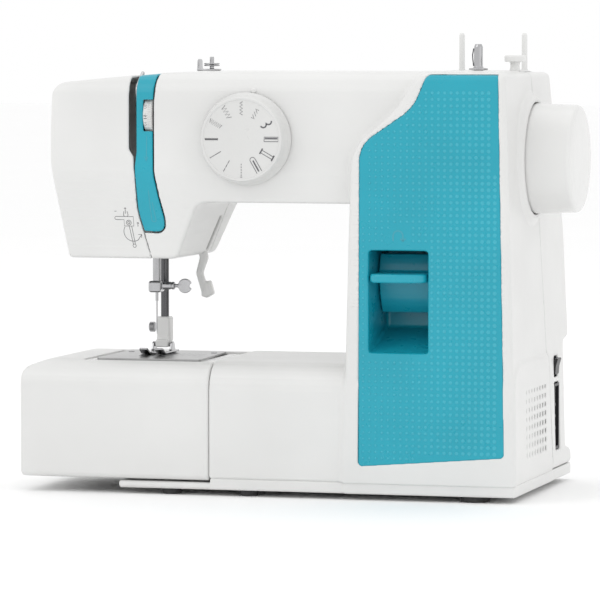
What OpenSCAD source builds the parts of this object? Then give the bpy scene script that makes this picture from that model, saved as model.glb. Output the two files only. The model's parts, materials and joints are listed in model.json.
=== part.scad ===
// Domestic free-arm sewing machine, built from separate casings and a working mechanism.
// Frame: origin at the centre of the whole machine's footprint on the table,
// +X towards the handwheel, +Y towards the back, +Z up. Millimetres.

/* [Overall] */
// Width from the accessory box's left end to the casing's right side
casing_w = 349; // [320:1:460]
// Depth from the column's front to the back of the motor bulge
casing_d = 182; // [165:1:240]
// Height of the arm's top above the table
casing_h = 288; // [272:1:360]

/* [Casing] */
// Thickness of every plastic wall
wall = 2.4; // [1.6:0.1:3.5]
// Height of the bed and needle plate above the table
bed_h = 91.5; // [80:0.5:112]
// Width of the column that holds the motor
column_w = 120; // [105:1:150]
// Depth of the column below the motor's bulge
low_column_d = 165; // [150:1:175]
// Height of the arm, top to underside
arm_h = 89; // [80:1:108]
// How far the head hangs below the arm's top
head_h = 128; // [112:1:140]
// Depth of the arm and the bed, front to back
arm_d = 112; // [104:1:126]
// How far the arm's front lies behind the column's front
arm_set_back = 8; // [4:0.5:12]
// Height of the moulded base under the casing
tray_h = 9; // [6:0.5:14]
// Gap between two casing pieces that meet
seam = 0.3; // [0.2:0.05:0.6]

/* [Free arm] */
// Depth of the free arm, front to back
free_arm_d = 84; // [80:1:92]
// Height of the free arm's own shell
free_arm_h = 56; // [50:1:66]
// Clearance of the accessory box around the free arm
box_clear = 0.6; // [0.4:0.1:1.5]
// Thickness of the needle plate
plate_t = 1.5; // [1:0.1:2.5]

/* [Needle and presser] */
// Diameter of the needle bar
needle_bar_d = 5.6; // [5:0.1:7]
// Diameter of the presser bar
presser_bar_d = 5.6; // [5:0.1:7]
// Distance from the needle bar back to the presser bar
bar_pitch = 19; // [17:0.5:23]
// Stroke of the needle bar
stroke = 28; // [24:1:33]
// Radial running clearance of a shaft in its bush
run_clear = 0.03; // [0.02:0.01:0.06]

/* [Drive] */
// Diameter of the main shaft
shaft_d = 8; // [6:0.5:10]
// Diameter of the handwheel
wheel_d = 75; // [62:1:90]
// How far the handwheel stands out past the casing's right side
wheel_reach = 29; // [28:1:40]
// Diameter of the pulley on the main shaft
pulley_d = 56; // [46:1:60]
// Diameter of the motor pulley
motor_pulley_d = 11.2; // [9:0.2:14]
// Diameter of the motor
motor_d = 50; // [42:1:54]

/* [Controls] */
// Diameter of the stitch dial's face
dial_d = 57; // [48:1:66]
// How far the dial stands in front of the column's front
dial_proud = 6; // [4:0.5:9]
// Width of the reverse lever's pocket
pocket_w = 41; // [34:1:48]
// Height of the reverse lever's pocket
pocket_h = 69.5; // [60:1:80]
// Diameter of the thread tension wheel
tension_d = 25; // [22:0.5:27]
// Diameter of a spool pin
spool_pin_d = 4; // [3.5:0.1:5.5]
// Length of a spool pin above the casing when it is pulled up
spool_pin_up = 26; // [20:1:32]
// Diameter of the bobbin winder's spindle
spindle_d = 6; // [5:0.1:7]

/* [Hidden] */
$fn = 48;

// Overall places
foot_h = 3;
x_r = (casing_w - wheel_reach) / 2;
x_l = x_r - casing_w;
y_f = -(casing_d + dial_proud) / 2 + dial_proud;
y_r = y_f + casing_d;
z_base = foot_h + tray_h;
z_top = casing_h;
z_arm = z_top - arm_h;
z_head = z_top - head_h;
x_col = x_r - column_w;
y_arm = y_f + arm_set_back;
y_arm_r = y_arm + arm_d;
y_bed = y_f + 2;
y_col_r = y_f + low_column_d;
side_draft = 8;

// Needle line and free arm
x_needle = x_l + 81.5;
y_needle = y_f + 58;
y_bar = y_needle + bar_pitch;
x_part = x_needle + 53.7;
x_arm_end = x_needle - 38.5;
y_free_f = y_f + 18;
y_free_r = y_free_f + free_arm_d;
z_plate = bed_h - plate_t;
z_free = z_plate - free_arm_h;

// Head
x_head_l = x_needle - 62;
x_head_r = x_needle + 26;
x_inner = x_needle + 43;

// Drive
y_shaft = y_f + 73;
z_shaft = z_top - 59;
crank_r = stroke / 2;
x_crank = x_needle + 18.5;
crank_t = 6;
rod_t = 4;
x_wheel = x_r - 4;
wheel_w = wheel_reach + 4;
x_pulley = x_r - 29;
pulley_w = 8;
y_motor = y_f + 134;
z_motor = z_shaft - 99;
motor_l = 58;
belt_t = 1.5;
belt_gap = 0.25;
x_bush_l = x_needle + 30.5;
x_bush_r = x_pulley - 18;
bush_l = 6;
bush_r = shaft_d / 2 + 4;

// Controls
x_dial = x_needle + 79;
z_dial = z_top - 45.5;
dial_shaft_d = 8;
x_pocket = x_r - 101.5;
z_pocket = z_top - 189;
lever_y = y_f + 63;
lever_z = z_pocket + 51;
pocket_back = lever_y - 11;
skirt_r = 38;
x_winder = x_r - 43;
x_slot_l = x_needle - 4.5;
x_slot_r = x_needle + 0.6;
x_strip_r = x_needle + 12.3;
z_slot = z_top - 53;
tension_w = 6.2;
x_tension = x_needle + 8.9;
y_tension = y_arm + tension_d / 2 - 1.6;
z_tension = z_top - 30;

// The parting plane leans: it meets the top further forward than the base
split_top = y_f + 80;
split_bottom = y_f + 120;

// ---------- Outline helpers ----------

function unit(v) = v / norm(v);
function at(P, i) = P[(i + len(P)) % len(P)];
function xy(p) = [p[0], p[1]];
function turn(a, b, c) = cross(xy(b) - xy(a), xy(c) - xy(b));
function wrap(a) = a > 180 ? a - 360 : a < -180 ? a + 360 : a;

// One rounded corner of an outline, as points from one tangent to the other
function corner(a, b, c, r, n) =
    let (u = unit(xy(a) - xy(b)), v = unit(xy(c) - xy(b)), half = acos(max(-1, min(1, u * v))) / 2)
    r < 0.05 || half > 89.5 ? [xy(b)] :
    let (t = r / tan(half), m = xy(b) + unit(u + v) * r / sin(half),
         p = xy(b) + u * t - m, q = xy(b) + v * t - m,
         a0 = atan2(p[1], p[0]), sweep = wrap(atan2(q[1], q[0]) - a0))
    [for (k = [0:n]) m + r * [cos(a0 + sweep * k / n), sin(a0 + sweep * k / n)]];

// Rounds every corner [x, y, radius] of a closed outline
function rounded(P, n = 6) = [for (i = [0:len(P) - 1]) each corner(at(P, i - 1), P[i], at(P, i + 1), P[i][2], n)];

// Moves every side of an anticlockwise outline inwards by d, and keeps its roundings concentric
function inset(P, d) = [for (i = [0:len(P) - 1])
    let (a = at(P, i - 1), b = P[i], c = at(P, i + 1),
         e = unit(xy(b) - xy(a)), f = unit(xy(c) - xy(b)),
         n = [-e[1], e[0]], m = [-f[1], f[0]], s = (n + m) / (1 + n * m),
         r = turn(a, b, c) > 0 ? max(b[2] - d, 0) : b[2] + d)
    [b[0] + d * s[0], b[1] + d * s[1], b[2] == 0 ? 0 : r]];

// Prisms of an outline drawn in the XZ, YZ or XY plane
module along_y(P, y0, y1) translate([0, y1, 0]) rotate([90, 0, 0]) linear_extrude(y1 - y0) polygon(P);
module along_x(P, x0, x1) translate([x0, 0, 0]) rotate([90, 0, 90]) linear_extrude(x1 - x0) polygon(P);
module along_z(P, z0, z1) translate([0, 0, z0]) linear_extrude(z1 - z0) polygon(P);

module block(x0, x1, y0, y1, z0, z1) translate([x0, y0, z0]) cube([x1 - x0, y1 - y0, z1 - z0]);
module rod_x(x0, x1, y, z, d) translate([x0, y, z]) rotate([0, 90, 0]) cylinder(h = x1 - x0, d = d);
module rod_y(x, y0, y1, z, d) translate([x, y1, z]) rotate([90, 0, 0]) cylinder(h = y1 - y0, d = d);
module rod_z(x, y, z0, z1, d) translate([x, y, z0]) cylinder(h = z1 - z0, d = d);

// ---------- Casing shapes ----------

// Front view of the head and arm
arm_root = x_r - 14;
arm_outline = [[x_head_r, z_head, 6], [x_inner, z_arm, 10], [arm_root, z_arm, 0], [arm_root, z_top - 0.2, 8],
    [x_needle + 50, z_top - 0.5, 0], [x_head_l + 2.5, z_top - 8.5, 10], [x_head_l, z_top - 57, 60],
    [x_head_l + 10.5, z_head, 2]];

// Side view of the head and arm: round top edges, and a front that falls back below a soft crease
arm_side = [[y_arm + 14, z_head - 1, 0], [y_arm_r - 8, z_head - 1, 0], [y_arm_r, z_arm + 14, 12],
    [y_arm_r, z_top, 16], [y_arm, z_top, 15], [y_arm, z_top - 68, 20]];

// Plan view of the head and arm: the left end is round
arm_plan = [[x_head_l, y_arm, 5], [x_r + 1, y_arm, 0], [x_r + 1, y_arm_r, 0], [x_head_l, y_arm_r, 18]];

// Side view of the bed
bed_side = [[y_bed, z_base, 0], [y_arm_r, z_base, 0], [y_arm_r, bed_h, 8], [y_bed, bed_h, 19]];
bed_outline = [[x_part, z_base, 0], [x_r - 2, z_base, 0], [x_r - 2, bed_h, 0], [x_part, bed_h, 0]];

// Front view of the column
column_outline = [[x_col, z_base, 0], [x_r, z_base, 0], [x_r - side_draft, z_top, 5], [x_col + 54, z_top, 0],
    [x_col + 36, z_top - 26, 22], [x_col + 6, z_top - 52, 24]];

// Side view of the column: a motor bulge above a step, and a skirt at the base
z_step = z_base + 86;
column_side = [[y_f, z_base, 0], [y_r, z_base, 0], [y_r, z_base + 11, 4], [y_col_r, z_base + 14, 3],
    [y_col_r, z_step, 3], [y_r, z_step + 3, 4], [y_r - 7, z_step + 80, 0], [y_r - 41, z_top, 6], [y_f, z_top, 6]];

module arm_solid(d = 0) intersection() {
    along_y(rounded(inset(arm_outline, d)), y_arm - 5, y_arm_r + 5);
    along_x(rounded(inset(arm_side, d)), x_head_l - 5, x_r + 5);
    along_z(rounded(inset(arm_plan, d)), z_head - 5, z_top + 5);
}
module bed_solid(d = 0) intersection() {
    along_y(rounded(inset(bed_outline, d)), y_bed - 5, y_arm_r + 5);
    along_x(rounded(inset(bed_side, d)), x_part - 5, x_r + 5);
}
module column_solid(d = 0) intersection() {
    along_y(rounded(inset(column_outline, d)), y_f - 5, y_r + 5);
    along_x(rounded(inset(column_side, d)), x_col - 5, x_r + 5);
}
module casing_solid(d = 0) {
    arm_solid(d);
    bed_solid(d);
    column_solid(d);
}

// The casing's skin, open at the bottom onto the base tray
module casing_skin() difference() {
    casing_solid();
    casing_solid(wall);
    block(x_part + wall, x_r - wall - 1, y_bed + wall, y_arm_r - wall, z_base - 1, z_base + wall + 1);
    block(x_col + wall, x_r - wall - 1, y_f + wall + 3, y_r - wall, z_base - 1, z_base + wall + 1);
}

// Everything in front of the leaning parting plane, moved by gap
module front_half(gap = 0) along_x([[y_f - 20, -20], [split_bottom + gap, -20],
    [split_bottom + gap, z_base], [split_top + gap, z_top], [split_top + gap, z_top + 40], [y_f - 20, z_top + 40]],
    x_l - 10, x_r + 60);

function split_y(z) = split_bottom + (split_top - split_bottom) * (z - z_base) / (z_top - z_base);

// Front view of the head's end cover: its right edge runs down the slot, then along a curved seam
module face_region(gap = 0) along_y([[x_l - 10, z_head - 20], [x_needle + 8.3 - gap, z_head - 20],
    [x_needle + 7.8 - gap, z_head], [x_needle + 3.2 - gap, z_head + 19], [x_needle - 0.4 - gap, z_head + 33],
    [x_needle - 1.2 - gap, z_head + 50], [x_needle - 1.1 - gap, z_slot - 5.5], [x_slot_l - gap, z_slot],
    [x_slot_l - gap, z_top + 20], [x_l - 10, z_top + 20]], y_arm - 20, y_r);

// Front view of the teal strip beside the slot
module strip_region(gap = 0) along_y([[x_needle + 3.8 - gap, z_head + 19 - gap],
    [x_needle + 15.5 + gap, z_head + 18.5 - gap], [x_needle + 18.2 + gap, z_head + 22],
    [x_needle + 18.2 + gap, z_head + 28], [x_needle + 15 + gap, z_head + 42],
    [x_strip_r + gap, z_head + 57], [x_strip_r + gap, z_top - 24], [x_strip_r + 2 + gap, z_top + 20],
    [x_slot_r - gap, z_top + 20], [x_slot_r - gap, z_slot - 2], [x_needle - 0.7 - gap, z_slot - 7],
    [x_needle - 0.7 - gap, z_head + 50], [x_needle + 0.1 - gap, z_head + 33]], y_arm - 20, y_arm + 42 + gap);

// The take-up lever's slot: open in front and over the top, with a slanting lower end
module slot_region(gap = 0) along_y([[x_slot_l - gap, z_slot], [x_needle - 1.1, z_slot - 6.5],
    [x_slot_r + gap, z_slot - 6.5], [x_slot_r + gap, z_top + 20], [x_slot_l - gap, z_top + 20]],
    y_arm - 20, y_arm + 42 + gap);

// ---------- Casing pieces ----------

module base_tray() color("whitesmoke") {
    x0 = x_needle - 11;
    rim = 3;
    difference() {
        union() {
            block(x_part + 0.5, x_r - 0.5, y_f + 0.8, y_arm_r - 0.5, foot_h, z_base);
            block(x_col + 0.5, x_r - 0.5, y_arm_r - 1, y_r - 0.8, foot_h, z_base);
            block(x0, x_part + 1, y_f + 3, y_arm_r - 3, foot_h, z_base - 3);
        }
        block(x_part + 0.5 + rim, x_r - 0.5 - rim, y_f + 0.8 + rim, y_arm_r - 0.5 - rim, foot_h + rim, z_base + 1);
        block(x_col + 0.5 + rim, x_r - 0.5 - rim, y_arm_r - 8, y_r - 0.8 - rim, foot_h + rim, z_base + 1);
    }
}

foot_places = [[x_needle + 24, y_f + 14, 13], [x_needle + 79, y_f + 14, 13], [x_r - 31, y_f + 16, 20],
    [x_needle + 24, y_arm_r - 16, 13], [x_r - 31, y_r - 20, 20]];
module rubber_feet() color("dimgray") for (f = foot_places) rod_z(f[0], f[1], 0, foot_h, f[2]);

// The outline of the teal panel on the column's front
panel_t = wall + 0.8;
panel_wrap = 14;
function panel_outline(gap = 0) = rounded(inset([[x_col + 11.2, z_base + 12.2, 2], [x_r - 7.9, z_base + 18.6, 2],
    [x_r - 13.4, z_top - 3, 1], [x_col + 60, z_top - 3, 3], [x_col + 49, z_top - 24, 24],
    [x_col + 12, z_top - 49, 18]], -gap));

vent_rows = 8;
vent_columns = 8;
vent_pitch_z = 6.1;
module vents() for (row = [0:vent_rows - 1]) for (col = [0:vent_columns - 1])
    block(x_r - 8, x_r + 4, y_f + 36 + 8.4 * col, y_f + 36 + 8.4 * col + 1.2 + 0.35 * col,
        z_base + 16 + vent_pitch_z * row, z_base + 18.6 + vent_pitch_z * row);

module lifter_slot() block(x_needle + 10, x_inner + 6, y_bar + 7, y_bar + 17, z_head - 4, z_head + 27);

// A collar that hides the handwheel's open back
module wheel_collar() difference() {
    rod_x(x_r - 7.6, x_r - 2, y_shaft, z_shaft, wheel_d + 9);
    rod_x(x_r - 9, x_r, y_shaft, z_shaft, wheel_d + 1.2);
}

module front_cover() color("white") difference() {
    intersection() {
        union() {
            casing_skin();
            wheel_collar();
        }
        front_half();
    }
    face_region(-seam);
    strip_region(seam);
    slot_region(0.01);
    along_y(panel_outline(seam), y_f - 10, y_f + panel_wrap + seam);
    rod_y(x_dial, y_f - 20, y_arm + 10, z_dial, dial_shaft_d + 4);
    rod_x(x_r - 20, x_r + 10, y_shaft, z_shaft, shaft_d + 12);
    block(x_part - 5, x_part + 10, y_free_f + 8, y_free_r - 8, z_free + 6, z_plate - 8);
    block(x_winder - 4.5, x_winder + 10.8, y_shaft - 4.3, y_shaft + 4.3, z_top - 8, z_top + 5);
    rod_z(x_r - 17.5, y_shaft, z_top - 8, z_top + 5, 6.4);
    head_opening();
    lifter_slot();
    vents();
}

// The open underside of the head, where both bars come down
module head_opening() block(x_needle - 40, x_needle + 22, y_arm + 20, y_bar + 22, z_head - 5, z_head + 12);

module rear_cover() color("white") difference() {
    union() {
        casing_skin();
        wheel_collar();
    }
    front_half(seam);
    for (x = [x_r - 62, x_r - 18]) rod_z(x, y_f + 105, z_top - 8, z_top + 5, spool_pin_d + 0.8);
    block(x_r - 6, x_r + 5, y_f + 132, y_f + 145, z_base + 64, z_base + 78);
    block(x_r - 6, x_r + 5, y_f + 131.5, y_f + 147, z_base + 13, z_base + 59.5);
    head_opening();
    lifter_slot();
}

module face_cover() color("white") intersection() {
    casing_skin();
    front_half(-seam);
    difference() {
        face_region();
        head_opening();
    }
}

module thread_strip() color("darkturquoise") difference() {
    intersection() {
        casing_skin();
        strip_region();
        front_half(-seam);
    }
    block(x_tension - tension_w / 2 - 0.6, x_strip_r + 1, y_arm - 5, y_arm + 8,
        z_tension - 10.7, z_tension + 10.7);
}

// A dark channel behind the slot that hides the mechanism
module thread_slot_liner() color("black")
    block(x_slot_r - 0.2, x_slot_r + 0.8, y_arm + wall + 2, y_arm + 14, z_slot - 8, z_top - 22);

module column_panel() color("darkturquoise") {
    t = 2;
    difference() {
        union() {
            intersection() {
                difference() {
                    column_solid();
                    column_solid(panel_t);
                }
                along_y(panel_outline(), y_f - 1, y_f + panel_wrap);
            }
            block(x_pocket - t, x_pocket + pocket_w + t, y_f + 0.5, pocket_back + t,
                z_pocket - t, z_pocket + pocket_h + t);
        }
        difference() {
            block(x_pocket, x_pocket + pocket_w, y_f - 5, pocket_back, z_pocket, z_pocket + pocket_h);
            along_x([[y_f, z_pocket - 1], [pocket_back + 1, z_pocket - 1], [pocket_back + 1, z_pocket + 15]],
                x_pocket - 1, x_pocket + pocket_w + 1);
        }
        block(x_pocket + pocket_w / 2 - 3, x_pocket + pocket_w / 2 + 3, pocket_back - 1, pocket_back + t + 1,
            lever_z - 10, lever_z + 6);
    }
}

// ---------- Free arm and accessory box ----------

module free_arm_cover() color("white") {
    side = [[y_free_f, z_free, 8], [y_free_r, z_free, 8], [y_free_r, z_plate, 3], [y_free_f, z_plate, 3]];
    difference() {
        along_x(rounded(side), x_arm_end, x_part - seam);
        along_x(rounded(inset(side, wall)), x_arm_end + wall, x_part + 1);
        block(x_arm_end + 8, x_part - 12, y_free_f + 6, y_free_r - 6, z_plate - 5, z_plate + 1);
        block(x_needle - 28, x_needle + 28, y_free_f - 1, y_free_f + 4, z_free + 9, z_plate - 5);
    }
}

module hook_cover() color("white")
    block(x_needle - 27.5, x_needle + 27.5, y_free_f, y_free_f + 2, z_free + 9.5, z_plate - 5.5);

plate_screws = [[x_needle - 26, y_needle + 24], [x_needle + 34, y_needle + 24]];
module needle_plate() color("silver") difference() {
    along_z(rounded([[x_arm_end + 7, y_free_f + 0.6, 3], [x_part - 11, y_free_f + 0.6, 3],
        [x_part - 15, y_free_r - 0.6, 6], [x_arm_end + 7, y_free_r - 0.6, 3]]), z_plate + 0.05, bed_h);
    block(x_needle - 3.6, x_needle + 3.6, y_needle - 1.2, y_needle + 1.2, z_plate - 1, bed_h + 1);
    for (x = [-7.5, 7.5]) feed_slot(x_needle + x, y_needle - 13, y_needle + 20);
    feed_slot(x_needle, y_needle + 5, y_needle + 20);
    for (s = plate_screws) rod_z(s[0], s[1], z_plate - 1, bed_h + 1, 4.4);
}
module feed_slot(x, y0, y1) block(x - 2, x + 2, y0, y1, z_plate - 1, bed_h + 1);

module needle_plate_screws() color("gray") for (s = plate_screws) difference() {
    rod_z(s[0], s[1], z_plate - 0.5, bed_h + 0.4, 4);
    block(s[0] - 3, s[0] + 3, s[1] - 0.4, s[1] + 0.4, bed_h - 0.4, bed_h + 1);
}

box_z = z_base - 2.4;
lid_h = 58;
module accessory_box() color("white") {
    side = [[y_bed, box_z, 5], [y_arm_r, box_z, 5], [y_arm_r, bed_h, 8], [y_bed, bed_h, 19]];
    front = [[x_l, box_z, 3], [x_part - seam, box_z, 0], [x_part - seam, bed_h, 0], [x_l + 19, bed_h, 14],
        [x_l, bed_h - 7, 8]];
    difference() {
        intersection() {
            along_x(rounded(side), x_l - 5, x_r);
            along_y(rounded(front), y_f - 5, y_r);
        }
        difference() {
            intersection() {
                along_x(rounded(inset(side, wall)), x_l - 5, x_r);
                along_y(rounded(inset(front, wall)), y_f - 5, y_r);
            }
            block(x_arm_end - box_clear - wall, x_r, y_free_f - box_clear - wall,
                y_free_r + box_clear + wall, 0, 200);
        }
        block(x_arm_end - box_clear, x_r, y_free_f - box_clear, y_free_r + box_clear, 0, 200);
        block(x_l + 14, x_part - 12, y_arm_r - wall - 1, y_arm_r + 5, box_z + 8, box_z + 8 + lid_h);
    }
}
lid_z = box_z + 9.3;
module accessory_lid() color("white") {
    block(x_l + 14.4, x_part - 12.4, y_arm_r - 2, y_arm_r, lid_z, lid_z + lid_h - 1.7);
    rod_x(x_l + 14.4, x_part - 12.4, y_arm_r - 1.2, lid_z + 0.2, 2.2);
}

// ---------- Frame and drive ----------

frame_y = y_shaft + 22;
frame_t = 4;
lever_mid = x_pocket + pocket_w / 2;
module main_frame() color("gray") difference() {
    union() {
        // Spine, upright and foot
        block(x_bush_l - 3, x_bush_r + bush_l, frame_y, frame_y + frame_t, z_shaft - 22, z_shaft + 22);
        block(x_bush_r - 40, x_bush_r + bush_l, frame_y, frame_y + frame_t, foot_h + 3, z_shaft - 21);
        block(x_bush_r - 40, x_bush_r + bush_l, frame_y - 26, frame_y + 24, foot_h + 3, foot_h + 6);
        for (x = [x_bush_l, x_bush_r])
            block(x, x + bush_l, y_shaft - bush_r - 4, frame_y + 1, z_shaft - bush_r - 4, z_shaft + bush_r + 4);
        // Motor mount
        block(x_bush_r, x_mount, frame_y, frame_y + frame_t, z_motor - 12, z_motor + 12);
        block(x_mount - 3, x_mount, frame_y, y_motor + motor_d / 2, z_motor - 12, z_motor + 12);
        // Pin of the reverse lever
        block(lever_mid + 6.5, lever_mid + 11, lever_y - 5, frame_y + 1, lever_z - 5, lever_z + 5);
        rod_x(lever_mid - 6, lever_mid + 7, lever_y, lever_z, 4 - 2 * run_clear);
        // Beam along the free arm, and the plate behind the hook race
        block(x_needle - 15, x_bush_r - 36, y_needle + 5, lug_back, z_free + 5, z_free + 13);
        block(x_bush_r - 40, x_bush_r - 36, y_needle + 5, frame_y + 1, z_free + 5, z_free + 13);
        block(x_needle - 15, x_needle + 15, y_needle + 5, lug_back, z_free + 5, hook_z + 10);
    }
    for (x = [x_bush_l, x_bush_r]) rod_x(x - 1, x + bush_l + 1, y_shaft, z_shaft, 2 * bush_r + 0.04);
    rod_x(x_mount - 4, x_mount + 1, y_motor, z_motor, 14);
    rod_y(x_needle, y_needle, lug_back + 5, hook_z, hook_shaft_d + 2 * run_clear);
}

module shaft_bushes() color("darkgoldenrod") for (x = [x_bush_l, x_bush_r]) difference() {
    rod_x(x, x + bush_l, y_shaft, z_shaft, 2 * bush_r);
    rod_x(x - 1, x + bush_l + 1, y_shaft, z_shaft, shaft_d + 2 * run_clear);
}

module main_shaft() color("silver") rod_x(x_crank + 0.5, x_wheel + wheel_w - 8, y_shaft, z_shaft, shaft_d);

module shaft_pulley() color("dimgray") difference() {
    union() {
        rod_x(x_pulley, x_pulley + pulley_w, y_shaft, z_shaft, pulley_d);
        for (x = [x_pulley - 1.2, x_pulley + pulley_w]) rod_x(x, x + 1.2, y_shaft, z_shaft, pulley_d + 5);
    }
    rod_x(x_pulley - 5, x_pulley + pulley_w + 5, y_shaft, z_shaft, shaft_d + 0.02);
    for (a = [0:60:300]) translate([0, y_shaft, z_shaft]) rotate([a, 0, 0])
        rod_x(x_pulley - 5, x_pulley + pulley_w + 5, pulley_d * 0.3, 0, pulley_d * 0.18);
}

// Crank disc with a counterweight side and the pin that carries the connecting rod
module needle_crank() color("silver") {
    difference() {
        rod_x(x_crank, x_crank + crank_t, y_shaft, z_shaft, 2 * crank_r + 6);
        rod_x(x_crank + 0.4, x_crank + crank_t + 1, y_shaft, z_shaft, shaft_d + 0.02);
    }
    rod_x(x_crank - rod_t - 1.4, x_crank + 0.5, y_shaft, z_shaft + crank_r, 4);
}

rod_foot_y = y_needle;
rod_foot_z = z_top - 84;
module connecting_rod() color("silver") {
    x0 = x_crank - 0.7 - rod_t;
    eye = 9;
    head_z = z_shaft + crank_r;
    reach = norm([y_shaft - rod_foot_y, head_z - rod_foot_z]);
    lean = atan2(y_shaft - rod_foot_y, head_z - rod_foot_z);
    difference() {
        union() {
            rod_x(x0, x0 + rod_t, y_shaft, head_z, eye);
            rod_x(x0, x0 + rod_t, rod_foot_y, rod_foot_z, eye);
            translate([x0 + 0.5, y_shaft, head_z]) rotate([-lean, 0, 0]) translate([0, -2.5, 3 - reach])
                cube([rod_t - 1, 5, reach - 6]);
        }
        rod_x(x0 - 1, x0 + rod_t + 1, y_shaft, head_z, 4 + 2 * run_clear);
        rod_x(x0 - 1, x0 + rod_t + 1, rod_foot_y, rod_foot_z, 4.2);
    }
}

module handwheel() color("white") {
    lip = 5;
    difference() {
        translate([x_wheel, y_shaft, z_shaft]) rotate([90, 0, 90]) rotate_extrude($fn = 96) polygon(rounded([
            [0, 0, 0], [wheel_d / 2, 0, 1.5], [wheel_d / 2 - 1.4, wheel_w - 1.2, 7], [0, wheel_w, 0]]));
        translate([x_wheel, y_shaft, z_shaft]) rotate([90, 0, 90]) translate([0, 0, -1]) rotate_extrude($fn = 96)
            polygon([[shaft_d / 2 + lip, 0], [wheel_d / 2 - 4, 0], [wheel_d / 2 - 5, wheel_w - 6],
                [shaft_d / 2 + lip, wheel_w - 6]]);
        rod_x(x_wheel - 1, x_wheel + wheel_w - 7.5, y_shaft, z_shaft, shaft_d + 2 * run_clear);
    }
}

x_mount = x_pulley - 6;
motor_shaft_d = 5;
module motor() color("dimgray") difference() {
    union() {
        rod_x(x_mount - motor_l, x_mount - 3, y_motor, z_motor, motor_d);
        rod_x(x_mount - motor_l - 8, x_mount - motor_l + 0.2, y_motor, z_motor, 16);
    }
    rod_x(x_mount - 22, x_mount + 1, y_motor, z_motor, motor_shaft_d + 2 * run_clear);
}
module motor_pulley() color("gainsboro") {
    rod_x(x_pulley - 0.4, x_pulley + pulley_w, y_motor, z_motor, motor_pulley_d);
    rod_x(x_mount - 21, x_pulley, y_motor, z_motor, motor_shaft_d);
}

module belt_loop(grow) hull() {
    translate([y_shaft, z_shaft]) circle(d = pulley_d + 2 * grow, $fn = 64);
    translate([y_motor, z_motor]) circle(d = motor_pulley_d + 2 * grow, $fn = 32);
}
module drive_belt() color("black") translate([x_pulley + 1, 0, 0]) rotate([90, 0, 90]) linear_extrude(pulley_w - 2)
    difference() {
        belt_loop(belt_gap + belt_t);
        belt_loop(belt_gap);
    }

// ---------- Needle bar and presser bar ----------

z_lug_low = z_head + 4;
z_lug_top = z_top - 66;
lug_t = 6;
bracket_y = y_bar + 15.2;
module needle_bar_bracket() color("darkgray") difference() {
    union() {
        block(x_needle - 14, x_needle + 22, bracket_y, bracket_y + 3, z_lug_low, z_top - 26);
        for (z = [z_lug_low, z_lug_top])
            block(x_needle - 9, x_needle + 9, y_needle - 8, bracket_y + 1, z, z + lug_t);
        block(x_crank, x_bush_l - 0.1, bracket_y + 0.5, frame_y, z_shaft - 15, z_shaft + 15);
        // Pins of the take-up lever and of the foot lifter
        block(x_needle + 4, x_needle + 9, take_up_y - 4, bracket_y + 1, take_up_z - 5, take_up_z + 5);
        rod_x(x_take_up - 0.5, x_needle + 5, take_up_y, take_up_z, 4);
        rod_y(lift_x, lift_y - 0.5, bracket_y + 1, lift_z, 4 - 2 * run_clear);
    }
    rod_z(x_needle, y_needle, z_head - 5, z_top, needle_bar_d + 2 * run_clear);
    rod_z(x_needle, y_bar, z_head - 5, z_top, presser_bar_d + 2 * run_clear);
}

z_clamp = bed_h + 43.4;
needle_tip = bed_h + 14.5;
module needle_bar() color("silver") rod_z(x_needle, y_needle, z_clamp + 1, z_top - 26, needle_bar_d);

module needle_bar_stud() color("gray") {
    difference() {
        rod_z(x_needle, y_needle, rod_foot_z - 4, rod_foot_z + 4, needle_bar_d + 6);
        rod_z(x_needle, y_needle, rod_foot_z - 5, rod_foot_z + 5, needle_bar_d + 0.02);
    }
    rod_x(x_needle + needle_bar_d / 2 + 1, x_crank - rod_t - 2, rod_foot_y, rod_foot_z, 4);
}

module needle_clamp() color("silver") difference() {
    union() {
        block(x_needle - 4.5, x_needle + 4.5, y_needle - 6.5, y_needle + 4.5, z_clamp, z_clamp + 8);
        rod_x(x_needle + 4, x_needle + 13, y_needle, z_clamp + 4.6, 5.4);
    }
    rod_z(x_needle, y_needle, z_clamp + 1, z_clamp + 9, needle_bar_d + 0.02);
    rod_z(x_needle, y_needle, z_clamp - 1, z_clamp + 2, 2.1);
    rod_x(x_needle + needle_bar_d / 2, x_needle + 14, y_needle, z_clamp + 4.6, 2.6);
}

module needle_clamp_screw() color("silver") {
    x0 = x_needle + 16;
    rod_x(x_needle + needle_bar_d / 2 + 0.3, x0 + 1, y_needle, z_clamp + 4.6, 2.4);
    difference() {
        rod_y(x0 + 4.4, y_needle - 1.2, y_needle + 1.2, z_clamp + 4.6, 10);
        rod_y(x0 + 9.2, y_needle - 2, y_needle + 2, z_clamp + 4.6, 3.4);
    }
}

module needle() color("silver") {
    rod_z(x_needle, y_needle, z_clamp - 6, z_clamp + 0.9, 2);
    rod_z(x_needle, y_needle, needle_tip + 4, z_clamp - 5.9, 1.1);
    translate([x_needle, y_needle, needle_tip]) cylinder(h = 4.1, d1 = 0.2, d2 = 1.1, $fn = 24);
}

z_holder = bed_h + 8.5;
module presser_bar() color("dimgray") rod_z(x_needle, y_bar, z_holder + 1, z_top - 38, presser_bar_d);

z_collar = z_lug_low + 16;
module presser_bar_collar() color("gray") difference() {
    rod_z(x_needle, y_bar, z_collar, z_collar + 8, presser_bar_d + 6);
    rod_z(x_needle, y_bar, z_collar - 1, z_collar + 9, presser_bar_d + 0.02);
}

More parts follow.
